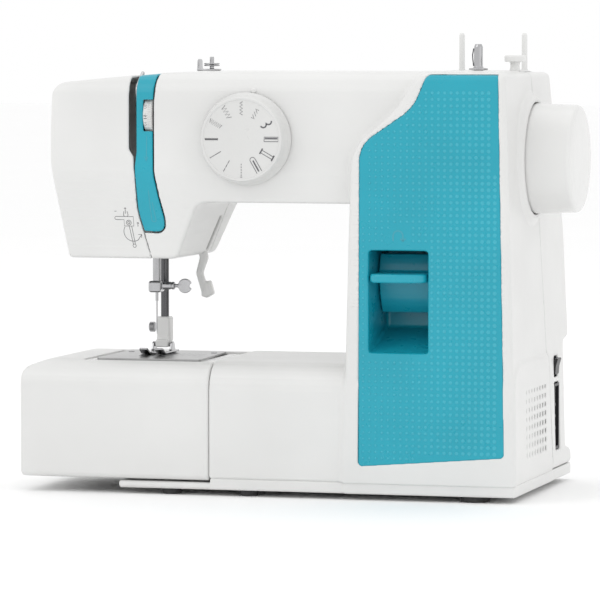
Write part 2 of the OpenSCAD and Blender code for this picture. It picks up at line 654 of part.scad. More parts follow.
spring_turns = 7;
spring_steps = 14;
spring_wire = 0.6;
function coil_ring(t, r, h, sides) = let (a = 360 * t)
    [for (k = [0:sides - 1]) let (b = 360 * k / sides)
        [(r + spring_wire * cos(b)) * cos(a), (r + spring_wire * cos(b)) * sin(a), h + spring_wire * sin(b)]];
module presser_spring() color("silver") {
    sides = 6;
    rings = spring_turns * spring_steps;
    low = z_collar + 8 + spring_wire + 0.1;
    high = z_lug_top - spring_wire - 0.1;
    points = [for (i = [0:rings]) each coil_ring(i / spring_steps, presser_bar_d / 2 + 1.6,
        low + (high - low) * i / rings, sides)];
    faces = [for (i = [0:rings - 1]) for (k = [0:sides - 1]) let (m = (k + 1) % sides)
        [i * sides + k, (i + 1) * sides + k, (i + 1) * sides + m, i * sides + m]];
    ends = [[for (k = [0:sides - 1]) k], [for (k = [0:sides - 1]) rings * sides + sides - 1 - k]];
    translate([x_needle, y_bar, 0]) polyhedron(points, concat(faces, ends));
}

z_foot_pin = bed_h + 6.2;
module foot_holder() color("whitesmoke") difference() {
    union() {
        block(x_needle - 4.8, x_needle + 4.8, y_bar - 4.8, y_bar + 4.8, z_holder, z_holder + 17);
        block(x_needle - 4.5, x_needle + 4.5, y_bar - 8.5, y_bar + 3, z_foot_pin - 1.8, z_holder + 1);
    }
    rod_z(x_needle, y_bar, z_holder + 1, z_holder + 18, presser_bar_d + 0.02);
    rod_x(x_needle - 6, x_needle + 6, y_bar - 4, z_foot_pin, 2.5);
    block(x_needle - 6, x_needle + 6, y_bar - 5.25, y_bar - 2.75, z_foot_pin - 3, z_foot_pin);
    rod_x(x_needle - 6, x_needle - presser_bar_d / 2 + 0.5, y_bar, z_holder + 9.5, 2.6);
}
module foot_holder_screw() color("gray") {
    rod_x(x_needle - 7.5, x_needle - presser_bar_d / 2 - 0.3, y_bar, z_holder + 9.5, 2.4);
    rod_x(x_needle - 11, x_needle - 7, y_bar, z_holder + 9.5, 7);
}

sole = 1.4;
foot_clear = 1;
module presser_foot() color("silver") {
    z0 = bed_h + foot_clear;
    w = 9;
    toe = y_needle - 14;
    heel = y_bar + 7;
    difference() {
        union() {
            block(x_needle - w, x_needle + w, y_needle - 8, heel, z0, z0 + sole);
            for (x = [x_needle - w, x_needle + 2.4]) {
                along_x([[y_needle - 7.9, z0], [y_needle - 7.9, z0 + sole], [toe, z0 + 4.6],
                    [toe - 0.9, z0 + 3.5]], x, x + w - 2.4);
            }
            for (x = [x_needle - w + 1.6, x_needle + w - 3.2])
                block(x, x + 1.6, y_bar - 8, y_bar, z0 + sole - 0.1, z_foot_pin + 2);
            rod_x(x_needle - w + 1.7, x_needle + w - 1.7, y_bar - 4, z_foot_pin, 2.3);
        }
        block(x_needle - 4, x_needle + 4, y_needle - 2.2, y_needle + 2.2, z0 - 1, z0 + sole + 1);
        block(x_needle - 2.4, x_needle + 2.4, toe - 5, y_needle - 5, z0 - 1, z0 + 8);
    }
}

lift_x = x_needle + 18;
lift_z = z_head + 18;
lift_y = y_bar + 9;
module foot_lifter() color("whitesmoke") {
    arm_points = [[lift_x - 4, lift_z, 0], [lift_x + 4, lift_z, 0], [lift_x + 10.5, lift_z - 20, 4],
        [lift_x + 6.5, lift_z - 31, 4], [lift_x + 11.5, lift_z - 46, 1.5], [lift_x + 6.5, lift_z - 47.5, 1.5],
        [lift_x + 1.5, lift_z - 31, 4], [lift_x + 4.5, lift_z - 20, 4]];
    pad = [[lift_x + 8.8, lift_z - 37, 1], [lift_x + 11.8, lift_z - 36, 1], [lift_x + 14.5, lift_z - 45.5, 1.5],
        [lift_x + 9.5, lift_z - 48.5, 1.5], [lift_x + 5.5, lift_z - 47, 0]];
    difference() {
        union() {
            along_y(rounded(arm_points), lift_y, lift_y + 4);
            rod_y(lift_x, lift_y, lift_y + 4, lift_z, 11);
            along_y([for (i = [len(pad) - 1:-1:0]) xy(pad[i])], lift_y, lift_y + 6);
        }
        rod_y(lift_x, lift_y - 1, lift_y + 5, lift_z, 4);
    }
}

// ---------- Thread path ----------

take_up_y = y_f + 38;
take_up_z = z_shaft + 1;
take_up_t = 2;
x_take_up = (x_slot_l + x_slot_r) / 2 - take_up_t / 2;
module take_up_lever() color("silver") {
    path = [[take_up_y + 3.6, take_up_z + 2.6, 0], [take_up_y - 11, z_top - 23, 6], [take_up_y - 16, z_top - 13, 5],
        [take_up_y - 3, z_top - 1.5, 0.9], [take_up_y - 5.5, z_top, 0.9], [take_up_y - 22, z_top - 11, 5],
        [take_up_y - 19, z_top - 25, 6], [take_up_y - 4.4, take_up_z + 1.6, 0]];
    difference() {
        union() {
            along_x(rounded(path), x_take_up, x_take_up + take_up_t);
            rod_x(x_take_up - 0.4, x_take_up + take_up_t + 0.4, take_up_y, take_up_z, 11);
        }
        rod_x(x_take_up - 1, x_take_up + take_up_t + 1, take_up_y, take_up_z, 4 + 2 * run_clear);
    }
}

module tension_wheel() color("whitesmoke") difference() {
    union() {
        rod_x(x_tension - tension_w / 2, x_tension + tension_w / 2, y_tension, z_tension, tension_d);
    }
    rod_x(x_tension - tension_w, x_tension + tension_w, y_tension, z_tension, 5 + 2 * run_clear);
}
module tension_discs() color("silver") {
    rod_x(x_slot_r + 0.8, x_tension + tension_w / 2 + 6, y_tension, z_tension, 5);
    rod_x(x_tension - tension_w / 2 - 1.3, x_tension - tension_w / 2 - 0.6, y_tension, z_tension, tension_d - 8);
    rod_x(x_tension + tension_w / 2 + 0.8, x_tension + tension_w / 2 + 3, y_tension, z_tension, 12);
}

// ---------- Controls ----------

skirt_w = pocket_w - 2;
module stitch_dial() color("whitesmoke") {
    translate([x_dial, y_arm - 0.6, z_dial]) rotate([90, 0, 0]) rotate_extrude($fn = 96) polygon(rounded([
        [0, 0, 0], [dial_d / 2 + 3, 0, 0.6], [dial_d / 2 + 2.2, 5, 1.5],
        [dial_d / 2, arm_set_back + dial_proud - 0.6, 1.2],
        [0, arm_set_back + dial_proud - 0.6, 0]]));
    rod_y(x_dial, y_arm - 1, y_arm + 20, z_dial, dial_shaft_d);
}
module pattern_cams() color("ivory") difference() {
    union() for (k = [0:4]) translate([x_dial, y_arm + 20.1 + 5 * (k + 1), z_dial]) rotate([90, 0, 0])
        linear_extrude(k % 2 == 0 ? 3 : 5.01) polygon([for (a = [0:6:354])
            (k % 2 == 0 ? 17 + 1.2 * sin(a * (k + 2)) : 11) * [cos(a), sin(a)]]);
    rod_y(x_dial, y_arm + 18, y_arm + 60, z_dial, 3);
}

module reverse_lever() color("darkturquoise") {
    x0 = x_pocket + 1;
    difference() {
        union() {
            intersection() {
                difference() {
                    rod_x(x0, x0 + skirt_w, lever_y, lever_z, 2 * skirt_r);
                    rod_x(x0 - 1, x0 + skirt_w + 1, lever_y, lever_z, 2 * skirt_r - 4);
                }
                along_x([[lever_y - 50, lever_z - 44], [lever_y, lever_z], [lever_y - 50, lever_z + 22]],
                    x0 - 2, x0 + skirt_w + 2);
            }
            along_z(rounded([[x0, lever_y - skirt_r + 1, 0], [x0, y_f - 4.5, 7], [x0 + skirt_w * 0.5, y_f - 5.5, 0],
                [x0 + skirt_w, y_f - 2, 9], [x0 + skirt_w, lever_y - skirt_r + 1, 0]]), lever_z - 3, lever_z + 3);
            block(x0 + skirt_w / 2 - 2, x0 + skirt_w / 2 + 2, lever_y - skirt_r + 1, lever_y,
                lever_z - 4, lever_z + 4);
            rod_x(x0 + skirt_w / 2 - 5, x0 + skirt_w / 2 + 5, lever_y, lever_z, 11);
        }
        rod_x(x0 + skirt_w / 2 - 6, x0 + skirt_w / 2 + 6, lever_y, lever_z, 4);
    }
}

// ---------- Feed, hook and bobbin ----------

feed_rise = 0.7;
feed_pitch = 2.3;
module feed_row(x, y0, count) {
    block(x - 1.5, x + 1.5, y0, y0 + feed_pitch * count, z_plate - 6, bed_h);
    for (k = [0:count - 1]) along_x([[y0 + feed_pitch * k, bed_h - 0.1], [y0 + feed_pitch * (k + 1), bed_h - 0.1],
        [y0 + feed_pitch * k + 1.6, bed_h + feed_rise]], x - 1.5, x + 1.5);
}
module feed_dog() color("gray") {
    for (s = [-1, 1]) feed_row(x_needle + 7.5 * s, y_needle - 10.5, 12);
    feed_row(x_needle, y_needle + 7.5, 4);
    block(x_needle - 9, x_needle + 9, y_needle + 9, y_needle + 16.7, z_plate - 8, z_plate - 3);
}

hook_z = z_plate - 27;
hook_r = 14.5;
race_r = 18;
gear_y = y_needle + 30;
hook_shaft_d = 7;
lug_back = y_needle + 9;
module ring_y(y0, y1, r1, r0) difference() {
    rod_y(x_needle, y0, y1, hook_z, 2 * r1);
    rod_y(x_needle, y0 - 1, y1 + 1, hook_z, 2 * r0);
}
module hook_race() color("silver") difference() {
    union() {
        ring_y(y_needle - 13, y_needle + 5, race_r, hook_r + 0.4);
        ring_y(y_needle + 3, y_needle + 5, race_r - 1, hook_shaft_d / 2 + 1);
    }
    block(x_needle - 7, x_needle + 7, y_needle - 5, y_needle + 3, hook_z, hook_z + race_r + 1);
}
module shuttle_hook() color("gainsboro") {
    ring_y(y_needle + 0.8, y_needle + 2.6, hook_r, hook_shaft_d / 2 + 0.01);
    difference() {
        ring_y(y_needle - 12.5, y_needle + 0.9, hook_r, hook_r - 2);
        along_y([[x_needle, hook_z], [x_needle - 30, hook_z - 6], [x_needle - 30, hook_z + 30],
            [x_needle + 30, hook_z + 30], [x_needle + 30, hook_z + 8]], y_needle - 20, y_needle + 0.8);
    }
}
module bobbin_case() color("silver") {
    ring_y(y_needle - 14, y_needle - 1, hook_r - 2.5, hook_r - 3.3);
    ring_y(y_needle - 14, y_needle - 13.2, hook_r - 2.6, 3.4);
    block(x_needle - 3.4, x_needle + 3.4, y_needle - 14.8, y_needle - 13.9, hook_z + 4, hook_z + 10);
}
module bobbin() color("lightsteelblue") {
    for (y = [y_needle - 12.8, y_needle - 3]) ring_y(y, y + 0.9, hook_r - 3.8, 3.2);
    ring_y(y_needle - 12.8, y_needle - 2.1, 4.2, 3.2);
}
module hook_shaft() color("gray") {
    rod_y(x_needle, y_needle + 0.9, gear_y - 6, hook_z, hook_shaft_d);
    translate([x_needle, gear_y - 7.4, hook_z]) rotate([90, 0, 0]) cylinder(h = 4, d1 = 14, d2 = 22);
}
module lower_shaft() color("gray") {
    rod_x(x_needle + 11, x_col + 30, gear_y, hook_z, hook_shaft_d);
    translate([x_needle + 7.4, gear_y, hook_z]) rotate([0, 90, 0]) cylinder(h = 4, d1 = 14, d2 = 22);
    rod_x(x_col + 24, x_col + 30, gear_y, hook_z, 12);
}

// ---------- Lamp, top and electrics ----------

lamp_x = x_needle + 26;
lamp_y = y_bar - 2;
lamp_z = z_head + 31;
module lamp_holder() color("ivory") difference() {
    rod_z(lamp_x, lamp_y, lamp_z, lamp_z + 18, 15);
    rod_z(lamp_x, lamp_y, lamp_z - 1, lamp_z + 12, 11.4);
}
module lamp_bulb() color("lightyellow") {
    rod_z(lamp_x, lamp_y, lamp_z - 8, lamp_z + 11.9, 11.3);
    translate([lamp_x, lamp_y, lamp_z - 8]) difference() {
        sphere(d = 11.3);
        translate([0, 0, 10]) cube(20, center = true);
    }
}

spool_y = y_f + 105;
spool_x = [x_r - 62, x_r - 18];
module spool_pin(x) {
    rod_z(x, spool_y, z_top - 22, z_top + 1, spool_pin_d + 0.6);
    rod_z(x, spool_y, z_top + 0.9, z_top + spool_pin_up - 2, spool_pin_d);
    translate([x, spool_y, z_top + spool_pin_up - 2.05])
        cylinder(h = 2.05, d1 = spool_pin_d, d2 = spool_pin_d - 1.6);
    rod_z(x, spool_y, z_top - 6, z_top - 4.4, spool_pin_d + 3);
}
module spool_pin_left() color("whitesmoke") spool_pin(spool_x[0]);
module spool_pin_right() color("whitesmoke") spool_pin(spool_x[1]);

module winder_carriage() color("gray") difference() {
    union() {
        rod_z(x_winder, y_shaft, z_top - 8, z_top + 0.6, 8);
        block(x_winder - 8, x_winder + 8, y_shaft - 7, y_shaft + 7, z_top - wall - 3.2, z_top - wall - 0.6);
    }
    rod_z(x_winder, y_shaft, z_top - 10, z_top + 2, spindle_d + 2 * run_clear);
}
module winder_spindle() color("silver") {
    rod_z(x_winder, y_shaft, z_top - 14, z_top + 18.5, spindle_d);
    rod_z(x_winder, y_shaft, z_top - 13, z_top - 8.6, 15);
    rod_z(x_winder, y_shaft, z_top + 0.9, z_top + 2.4, 13);
    block(x_winder - spindle_d / 2 - 1, x_winder, y_shaft - 0.6, y_shaft + 0.6, z_top + 5, z_top + 13);
}
module winder_stopper() color("whitesmoke") {
    rod_z(x_r - 17.5, y_shaft, z_top - 4, z_top + 6.5, 6);
    rod_z(x_r - 17.5, y_shaft, z_top + 6.4, z_top + 11, 14.6);
}

x_guide = x_needle + 34.5;
module winder_thread_guide() color("silver") {
    block(x_guide - 7, x_guide + 7, y_shaft - 4, y_shaft + 4, z_top, z_top + 1.2);
    block(x_guide - 8.2, x_guide - 7, y_shaft - 4, y_shaft + 4, z_top, z_top + 8);
    rod_z(x_guide + 1, y_shaft, z_top + 1.1, z_top + 9.6, 3);
    rod_z(x_guide + 1, y_shaft, z_top + 3.2, z_top + 4, 11);
    rod_z(x_guide + 1, y_shaft, z_top + 4.2, z_top + 5, 11);
}

y_switch = y_f + 138.5;
z_switch = z_base + 71;
function side_x(z) = x_r - side_draft * (z - z_base) / (z_top - z_base);
x_switch = side_x(z_switch);
module power_switch() color("black") {
    along_y(rounded([[x_switch - 5, z_switch - 5.6, 1], [x_switch + 0.4, z_switch - 5.6, 0.6],
        [x_switch + 0.8, z_switch, 0], [x_switch + 2.4, z_switch + 5.6, 0.6],
        [x_switch - 5, z_switch + 5.6, 1]]), y_switch - 5.8, y_switch + 5.8);
    rod_y(x_switch - 3, y_switch - 6.3, y_switch + 6.3, z_switch, 3);
}

y_inlet = y_f + 139.2;
z_inlet = z_base + 36.2;
module power_inlet() color("dimgray") {
    x0 = side_x(z_inlet) - 0.8;
    difference() {
        block(x0 - 22, x0, y_inlet - 7.4, y_inlet + 7.4, z_inlet - 22.8, z_inlet + 22.8);
        block(x0 - 15, x0 + 1, y_inlet - 5.8, y_inlet + 5.8, z_inlet - 21, z_inlet + 21);
    }
    block(x0 - 15.1, x0 - 6, y_inlet - 4.6, y_inlet + 4.6, z_inlet - 13, z_inlet + 13);
    for (k = [-1, 0, 1]) rod_x(x0 - 6.1, x0 - 1, y_inlet, z_inlet + 8 * k, 2.4);
}

// ---------- The parts ----------

base_tray();
rubber_feet();
front_cover();
rear_cover();
face_cover();
column_panel();
thread_strip();
thread_slot_liner();
free_arm_cover();
hook_cover();
needle_plate();
needle_plate_screws();
accessory_box();
accessory_lid();
main_frame();
shaft_bushes();
main_shaft();
shaft_pulley();
needle_crank();
connecting_rod();
handwheel();
drive_belt();
motor();
motor_pulley();
needle_bar_bracket();
needle_bar();
needle_bar_stud();
needle_clamp();
needle_clamp_screw();
needle();
presser_bar();
presser_bar_collar();
presser_spring();
foot_holder();
foot_holder_screw();
presser_foot();
foot_lifter();
take_up_lever();
tension_wheel();
tension_discs();
stitch_dial();
pattern_cams();
reverse_lever();
feed_dog();
lower_shaft();
hook_shaft();
hook_race();
shuttle_hook();
bobbin_case();
bobbin();
lamp_holder();
lamp_bulb();
spool_pin_left();
spool_pin_right();
winder_carriage();
winder_spindle();
winder_stopper();
winder_thread_guide();
power_switch();
power_inlet();
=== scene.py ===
# %% [markdown]
# # A free-arm sewing machine
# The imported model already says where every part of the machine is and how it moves. This lesson gives
# the machine its looks. Parts whose plain shape is right keep their own mesh and get a better finish.
# Mouldings, knobs and small fittings are made again in mesh code, because a real moulding has soft
# edges, seams and draft that a plain solid lacks.

# %% Load the frame
import json
import math
import bpy
import numpy as np
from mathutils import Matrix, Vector


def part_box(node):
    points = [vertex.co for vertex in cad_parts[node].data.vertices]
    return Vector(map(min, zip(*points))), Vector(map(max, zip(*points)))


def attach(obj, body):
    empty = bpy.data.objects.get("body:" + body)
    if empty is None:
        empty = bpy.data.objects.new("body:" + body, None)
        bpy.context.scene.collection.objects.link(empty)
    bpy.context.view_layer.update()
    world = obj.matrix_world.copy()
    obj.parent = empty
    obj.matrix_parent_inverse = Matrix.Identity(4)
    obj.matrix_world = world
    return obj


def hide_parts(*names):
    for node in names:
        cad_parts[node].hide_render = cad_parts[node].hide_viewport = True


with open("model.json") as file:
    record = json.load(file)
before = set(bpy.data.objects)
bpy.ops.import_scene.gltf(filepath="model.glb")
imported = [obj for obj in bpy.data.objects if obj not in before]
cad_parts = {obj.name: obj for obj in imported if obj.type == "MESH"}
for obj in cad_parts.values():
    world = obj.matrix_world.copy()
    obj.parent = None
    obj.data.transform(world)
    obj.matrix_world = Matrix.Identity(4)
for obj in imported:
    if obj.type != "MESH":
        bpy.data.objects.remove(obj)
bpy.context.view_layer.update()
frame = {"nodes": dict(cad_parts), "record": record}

# %% [markdown]
# ## The camera
# The machine is seen from a little to the right, from far away through a long lens, so upright edges
# stay nearly upright and the far end of the machine is hardly smaller than the near end.

# %% Place the camera
MM = 0.001


def placed(name, data):
    """Puts an object that holds the data into the scene."""
    made = bpy.data.objects.new(name, data)
    bpy.context.scene.collection.objects.link(made)
    return made


yaw, pitch = math.radians(15.31), math.radians(3.4)
camera_data = bpy.data.cameras.new("camera")
camera_data.lens, camera_data.sensor_width = 270, 36
camera_data.clip_start, camera_data.clip_end = 0.1, 30
camera = placed("camera", camera_data)
camera.location = (809.5 * MM, -3004.5 * MM, 314.2 * MM)
looking = Vector((-math.sin(yaw) * math.cos(pitch), math.cos(yaw) * math.cos(pitch), -math.sin(pitch)))
camera.rotation_mode = "QUATERNION"
camera.rotation_quaternion = looking.to_track_quat("-Z", "Y")
bpy.context.scene.camera = camera

# %% [markdown]
# ## Finishes
# A finish is a small program of shader nodes. Written as Python sums it stays short: the class below
# wraps a node's socket, so that `1 - mask` or `noise * 0.2 + 0.3` adds the Math nodes by itself.

# %% Sums of sockets
class Wire:
    """One output socket that can be added and multiplied like a number."""

    def __init__(self, finish, socket):
        self.finish, self.socket = finish, socket

    def sum(self, kind, *values):
        return self.finish.node("ShaderNodeMath", {"operation": kind}, list(values))

    def __add__(self, other): return self.sum("ADD", self, other)
    def __radd__(self, other): return self.sum("ADD", other, self)
    def __sub__(self, other): return self.sum("SUBTRACT", self, other)
    def __rsub__(self, other): return self.sum("SUBTRACT", other, self)
    def __mul__(self, other): return self.sum("MULTIPLY", self, other)
    def __rmul__(self, other): return self.sum("MULTIPLY", other, self)
    def __truediv__(self, other): return self.sum("DIVIDE", self, other)
    def __rtruediv__(self, other): return self.sum("DIVIDE", other, self)
    def __pow__(self, other): return self.sum("POWER", self, other)


finishes = {}


class Finish:
    """A material made around one Principled shader. Constants go straight onto its sockets."""

    def __init__(self, name, **constants):
        self.material = finishes[name] = bpy.data.materials.new(name)
        self.material.use_nodes = True
        self.nodes, self.links = self.material.node_tree.nodes, self.material.node_tree.links
        self.shader = self.nodes["Principled BSDF"]
        self.set(**constants)

    def set(self, **values):
        for key, value in values.items():
            self.put(self.shader.inputs[key.replace("_", " ")], value)

    def put(self, socket, value):
        if isinstance(value, Wire):
            self.links.new(value.socket, socket)
        elif socket.type == "RGBA" and len(value) == 3:
            socket.default_value = (*value, 1)
        else:
            socket.default_value = value

    def node(self, kind, settings, values, out=0):
        """Adds a node: its settings first, then its sockets, by name or in order."""
        node = self.nodes.new(kind)
        for key, value in settings.items():
            if key == "stops":
                for k, (at, colour) in enumerate(value):
                    stop = node.color_ramp.elements[k] if k < 2 else node.color_ramp.elements.new(at)
                    stop.position, stop.color = at, (*colour, 1)
            else:
                setattr(node, key, value)
        named = values.items() if isinstance(values, dict) else enumerate(values)
        for key, value in named:
            found = [s for s in node.inputs if s.enabled and s.name == key]
            self.put(found[0] if found else node.inputs[key], value)
        return Wire(self, [s for s in node.outputs if s.enabled][out])

    def here(self):
        return self.node("ShaderNodeTexCoord", {}, {}, out=3)

    def noise(self, size, detail=3, place=None):
        """Soft noise whose blotches are about size millimetres across."""
        return self.node("ShaderNodeTexNoise", {}, {
            "Vector": place or self.here(), "Scale": 1 / (size * MM), "Detail": detail})

    def mix(self, amount, first, second):
        return self.node("ShaderNodeMix", {"data_type": "RGBA"}, {"Factor": amount, "A": first, "B": second})

    def ramp(self, value, *stops):
        return self.node("ShaderNodeValToRGB", {"stops": stops}, {"Fac": value})

    def bump(self, height, depth, strength=1.0):
        """Raises the surface by height (0 to 1) times depth millimetres."""
        self.set(Normal=self.node("ShaderNodeBump", {}, {
            "Height": height, "Distance": depth * MM, "Strength": strength}))


print("finishes so far:", len(finishes))

# %% [markdown]
# ## Moulded plastic
# The casing is a hard, slightly glossy plastic. Up close such a moulding isn't perfectly even: the
# colour drifts by a hair where the plastic flowed, the gloss varies with the polish of the mould, and
# fine spark-erosion texture breaks up reflections. Noises at several sizes give those.

# %% Plastic finishes
def plastic(name, colour, rough, grain=0.25, drift=0.05, coat=0.0):
    f = Finish(name, IOR=1.5, Coat_Weight=coat, Coat_Roughness=0.08)
    cloud = f.noise(60, 2)
    patches = f.noise(9, 4)
    dark = [c * (1 - drift) for c in colour]
    f.set(Base_Color=f.mix(f.ramp(cloud, (0.3, (0, 0, 0)), (0.7, (1, 1, 1))), dark, colour),
          Roughness=patches * 0.12 + (rough - 0.06))
    f.bump(f.noise(grain, 2) * 0.6 + f.noise(grain * 6, 2) * 0.4, 0.012)


plastic("white_moulding", (0.755, 0.755, 0.745), 0.33)
plastic("white_gloss", (0.775, 0.775, 0.765), 0.24)
plastic("dial_white", (0.70, 0.70, 0.69), 0.30)
plastic("turquoise", (0.010, 0.365, 0.475), 0.29, drift=0.08)
plastic("dot_turquoise", (0.040, 0.43, 0.54), 0.30, drift=0.08)
# A greyer teal for the pressed marks: painted shading that stands in for the light and shade in their
# grooves.
plastic("painted_groove_shading", (0.055, 0.36, 0.45), 0.34, drift=0.08)
plastic("black_plastic", (0.018, 0.018, 0.020), 0.38)
plastic("ivory", (0.72, 0.69, 0.60), 0.42)
plastic("clear_blue", (0.30, 0.42, 0.60), 0.15)
print("plastics:", sorted(finishes))

# %% [markdown]
# ## Metal, rubber and print
# Plated bars are nearly mirrors, with faint lengthwise polishing marks. Pressed steel is duller, cast
# parts are grainy, and rubber is dark with a matte bloom. Printed marks are flat grey ink.

# %% Metal finishes
def metal(name, colour, rough, marks=(1, 1, 1), grain=1.2, depth=0.004):
    f = Finish(name, Metallic=1.0)
    stretched = f.node("ShaderNodeMapping", {}, {"Vector": f.here(), "Scale": marks})
    lines = f.noise(grain, 4, stretched)
    f.set(Base_Color=f.mix(f.ramp(f.noise(14, 3), (0.35, (0, 0, 0)), (0.65, (1, 1, 1))),
                           [c * 0.88 for c in colour], colour),
          Roughness=lines * 0.14 + (rough - 0.07))
    f.bump(lines, depth)


metal("chrome", (0.50, 0.50, 0.51), 0.14, (1, 1, 0.05))
metal("dark_bar", (0.12, 0.12, 0.125), 0.24, (1, 1, 0.05))
metal("steel", (0.50, 0.50, 0.51), 0.30, (0.08, 1, 1))
metal("plate_steel", (0.42, 0.42, 0.42), 0.30, (0.04, 1, 1), 0.6)
metal("castings", (0.36, 0.37, 0.38), 0.52, grain=0.7, depth=0.05)
metal("bronze", (0.52, 0.36, 0.17), 0.38)
print("metals added:", len(finishes))

# %% Rubber, ink and glass
def rubber(name, colour):
    f = Finish(name, Specular_IOR_Level=0.35)
    dust = f.noise(3, 5)
    f.set(Base_Color=f.mix(dust, colour, [c * 2.2 + 0.01 for c in colour]), Roughness=dust * 0.2 + 0.6)
    f.bump(f.noise(0.5, 4), 0.03)


def ink(name, colour):
    f = Finish(name)
    worn = f.noise(0.7, 4)
    f.set(Base_Color=f.mix(worn, colour, [min(1, c + 0.05) for c in colour]), Roughness=worn * 0.1 + 0.4)


rubber("rubber", (0.030, 0.030, 0.030))
rubber("belt", (0.014, 0.014, 0.014))
ink("grey_ink", (0.10, 0.10, 0.11))
ink("pale_ink", (0.30, 0.30, 0.31))
glass = Finish("bulb_glass", Transmission_Weight=0.9, IOR=1.45)
streaks = glass.noise(5, 2)
glass.set(Base_Color=glass.mix(streaks, (0.95, 0.93, 0.86), (0.88, 0.86, 0.80)),
          Roughness=streaks * 0.1 + 0.02)
print("all finishes:", len(finishes))

# %% [markdown]
# ## Modelling with distances
# A moulding with soft edges is easy to describe by distance: at every point of a grid we note how far
# the surface is, negative inside. The larger of two distances is where two shapes overlap, and taking
# it along a quarter circle instead rounds the edge between them. A mesh is then laid through the
# points where the distance is zero, one vertex in each grid cell that the surface crosses.

# %% Outlines and distances
def band(a, b, n):
    """The quads between two rings of n vertices that start at a and at b."""
    return [(a + s, a + (s + 1) % n, b + (s + 1) % n, b + s) for s in range(n)]


def rounded(points, steps=8):
    """The closed outline through [u, v, radius] corners, each rounded with its own radius."""
    made = []
    for a, b, c in zip(np.roll(points, 1, 0), points, np.roll(points, -1, 0)):
        a, b, c, r = np.array(a[:2]), np.array(b[:2]), np.array(c[:2]), b[2]
        u, v = (a - b) / np.linalg.norm(a - b), (c - b) / np.linalg.norm(c - b)
        half = math.acos(np.clip(u @ v, -1, 1)) / 2
        if r < 0.05 or half > 1.56:
            made.append(b)
            continue
        middle = b + (u + v) / np.linalg.norm(u + v) * r / math.sin(half)
        p, q = b + u * r / math.tan(half) - middle, b + v * r / math.tan(half) - middle
        start = math.atan2(p[1], p[0])
        sweep = (math.atan2(q[1], q[0]) - start + math.pi) % (2 * math.pi) - math.pi
        for k in range(steps + 1):
            w = start + sweep * k / steps
            made.append(middle + r * np.array((math.cos(w), math.sin(w))))
    return np.array(made)


def oblong(u0, v0, u1, v1, r):
    """The corners of a rectangle, all with radius r."""
    return [[u0, v0, r], [u1, v0, r], [u1, v1, r], [u0, v1, r]]


def distance(loop, u, v):
    """How far each point (u, v) is from a closed outline, negative inside."""
    near = np.full(np.broadcast(u, v).shape, 1e9)
    inside = np.zeros(near.shape, bool)
    for (au, av), (bu, bv) in zip(loop, np.roll(loop, -1, 0)):
        du, dv = bu - au, bv - av
        t = np.clip(((u - au) * du + (v - av) * dv) / max(du * du + dv * dv, 1e-9), 0, 1)
        near = np.minimum(near, (u - au - t * du) ** 2 + (v - av - t * dv) ** 2)
        if dv:
            inside ^= ((av <= v) != (bv <= v)) & (u < au + (v - av) * du / dv)
    return np.where(inside, -1, 1) * np.sqrt(near)


def both(a, b, r=0.0):
    """The overlap of two shapes, its edge rounded by r."""
    return np.minimum(np.maximum(a, b), -r) + np.hypot(np.maximum(a + r, 0), np.maximum(b + r, 0))


def either(a, b, r=0.0):
    """Two shapes joined, with a fillet of r in the corner between them."""
    return -both(-a, -b, r)


def cut(a, b, r=0.0):
    """The first shape less the second, its edge rounded by r."""
    return both(a, -b, r)


# %% A lump of clay to model in
def spaced(low, high, step, finer):
    """Grid lines from low to high, closer together in the stretches that finer lists."""
    lines, at = [low], low
    while at < high:
        at += min([s for a, b, s in finer if a <= at < b] + [step])
        lines.append(at)
    return np.array(lines)


class Clay:
    """A box of grid points, in millimetres, that one piece is modelled in."""

    def __init__(self, low, high, step, x=(), y=(), z=()):
        self.axes = [spaced(a - 2 * step, b + 2 * step, step, f) for a, b, f in zip(low, high, (x, y, z))]
        self.x = self.axes[0][:, None, None]
        self.y = self.axes[1][None, :, None]
        self.z = self.axes[2][None, None, :]

    def front(self, corners):
        return distance(rounded(corners), self.axes[0][:, None], self.axes[2][None, :])[:, None, :]

    def side(self, corners):
        return distance(rounded(corners), self.axes[1][:, None], self.axes[2][None, :])[None, :, :]

    def plan(self, corners):
        return distance(rounded(corners), self.axes[0][:, None], self.axes[1][None, :])[:, :, None]

    def slab(self, axis, low, high):
        at = (self.x, self.y, self.z)[axis]
        return np.maximum(low - at, at - high)

    def box(self, low, high, r=0.0):
        sides = [self.slab(k, low[k], high[k]) for k in range(3)]
        return both(both(sides[0], sides[1], r), sides[2], r)

    def rod(self, axis, centre, radius):
        a, b = [(self.x, self.y, self.z)[k] for k in range(3) if k != axis]
        return np.hypot(a - centre[0], b - centre[1]) - radius

    def drum(self, axis, centre, radius, low, high, r=0.0):
        return both(self.rod(axis, centre, radius), self.slab(axis, low, high), r)


def mesh_object(name, places, faces, normals=None):
    """Makes a smooth mesh object from places in millimetres and a rectangular array of faces."""
    mesh = bpy.data.meshes.new(name)
    faces = np.asarray(faces, np.int32)
    mesh.vertices.add(len(places))
    mesh.vertices.foreach_set("co", (np.asarray(places, np.float32) * MM).ravel())
    mesh.loops.add(faces.size)
    mesh.loops.foreach_set("vertex_index", faces.ravel())
    mesh.polygons.add(len(faces))
    mesh.polygons.foreach_set("loop_start", np.arange(0, faces.size, faces.shape[1], dtype=np.int32))
    mesh.update(calc_edges=True)
    mesh.validate()
    mesh.shade_smooth()
    if normals is not None and len(normals) == len(mesh.vertices):
        plain = np.empty(3 * len(places), np.float32)
        mesh.vertex_normals.foreach_get("vector", plain)
        plain = plain.reshape(-1, 3)
        agree = (plain * normals).sum(1, keepdims=True) > 0.94
        mesh.normals_split_custom_set_from_vertices(np.where(agree, normals, plain).tolist())
    return placed(name, mesh)


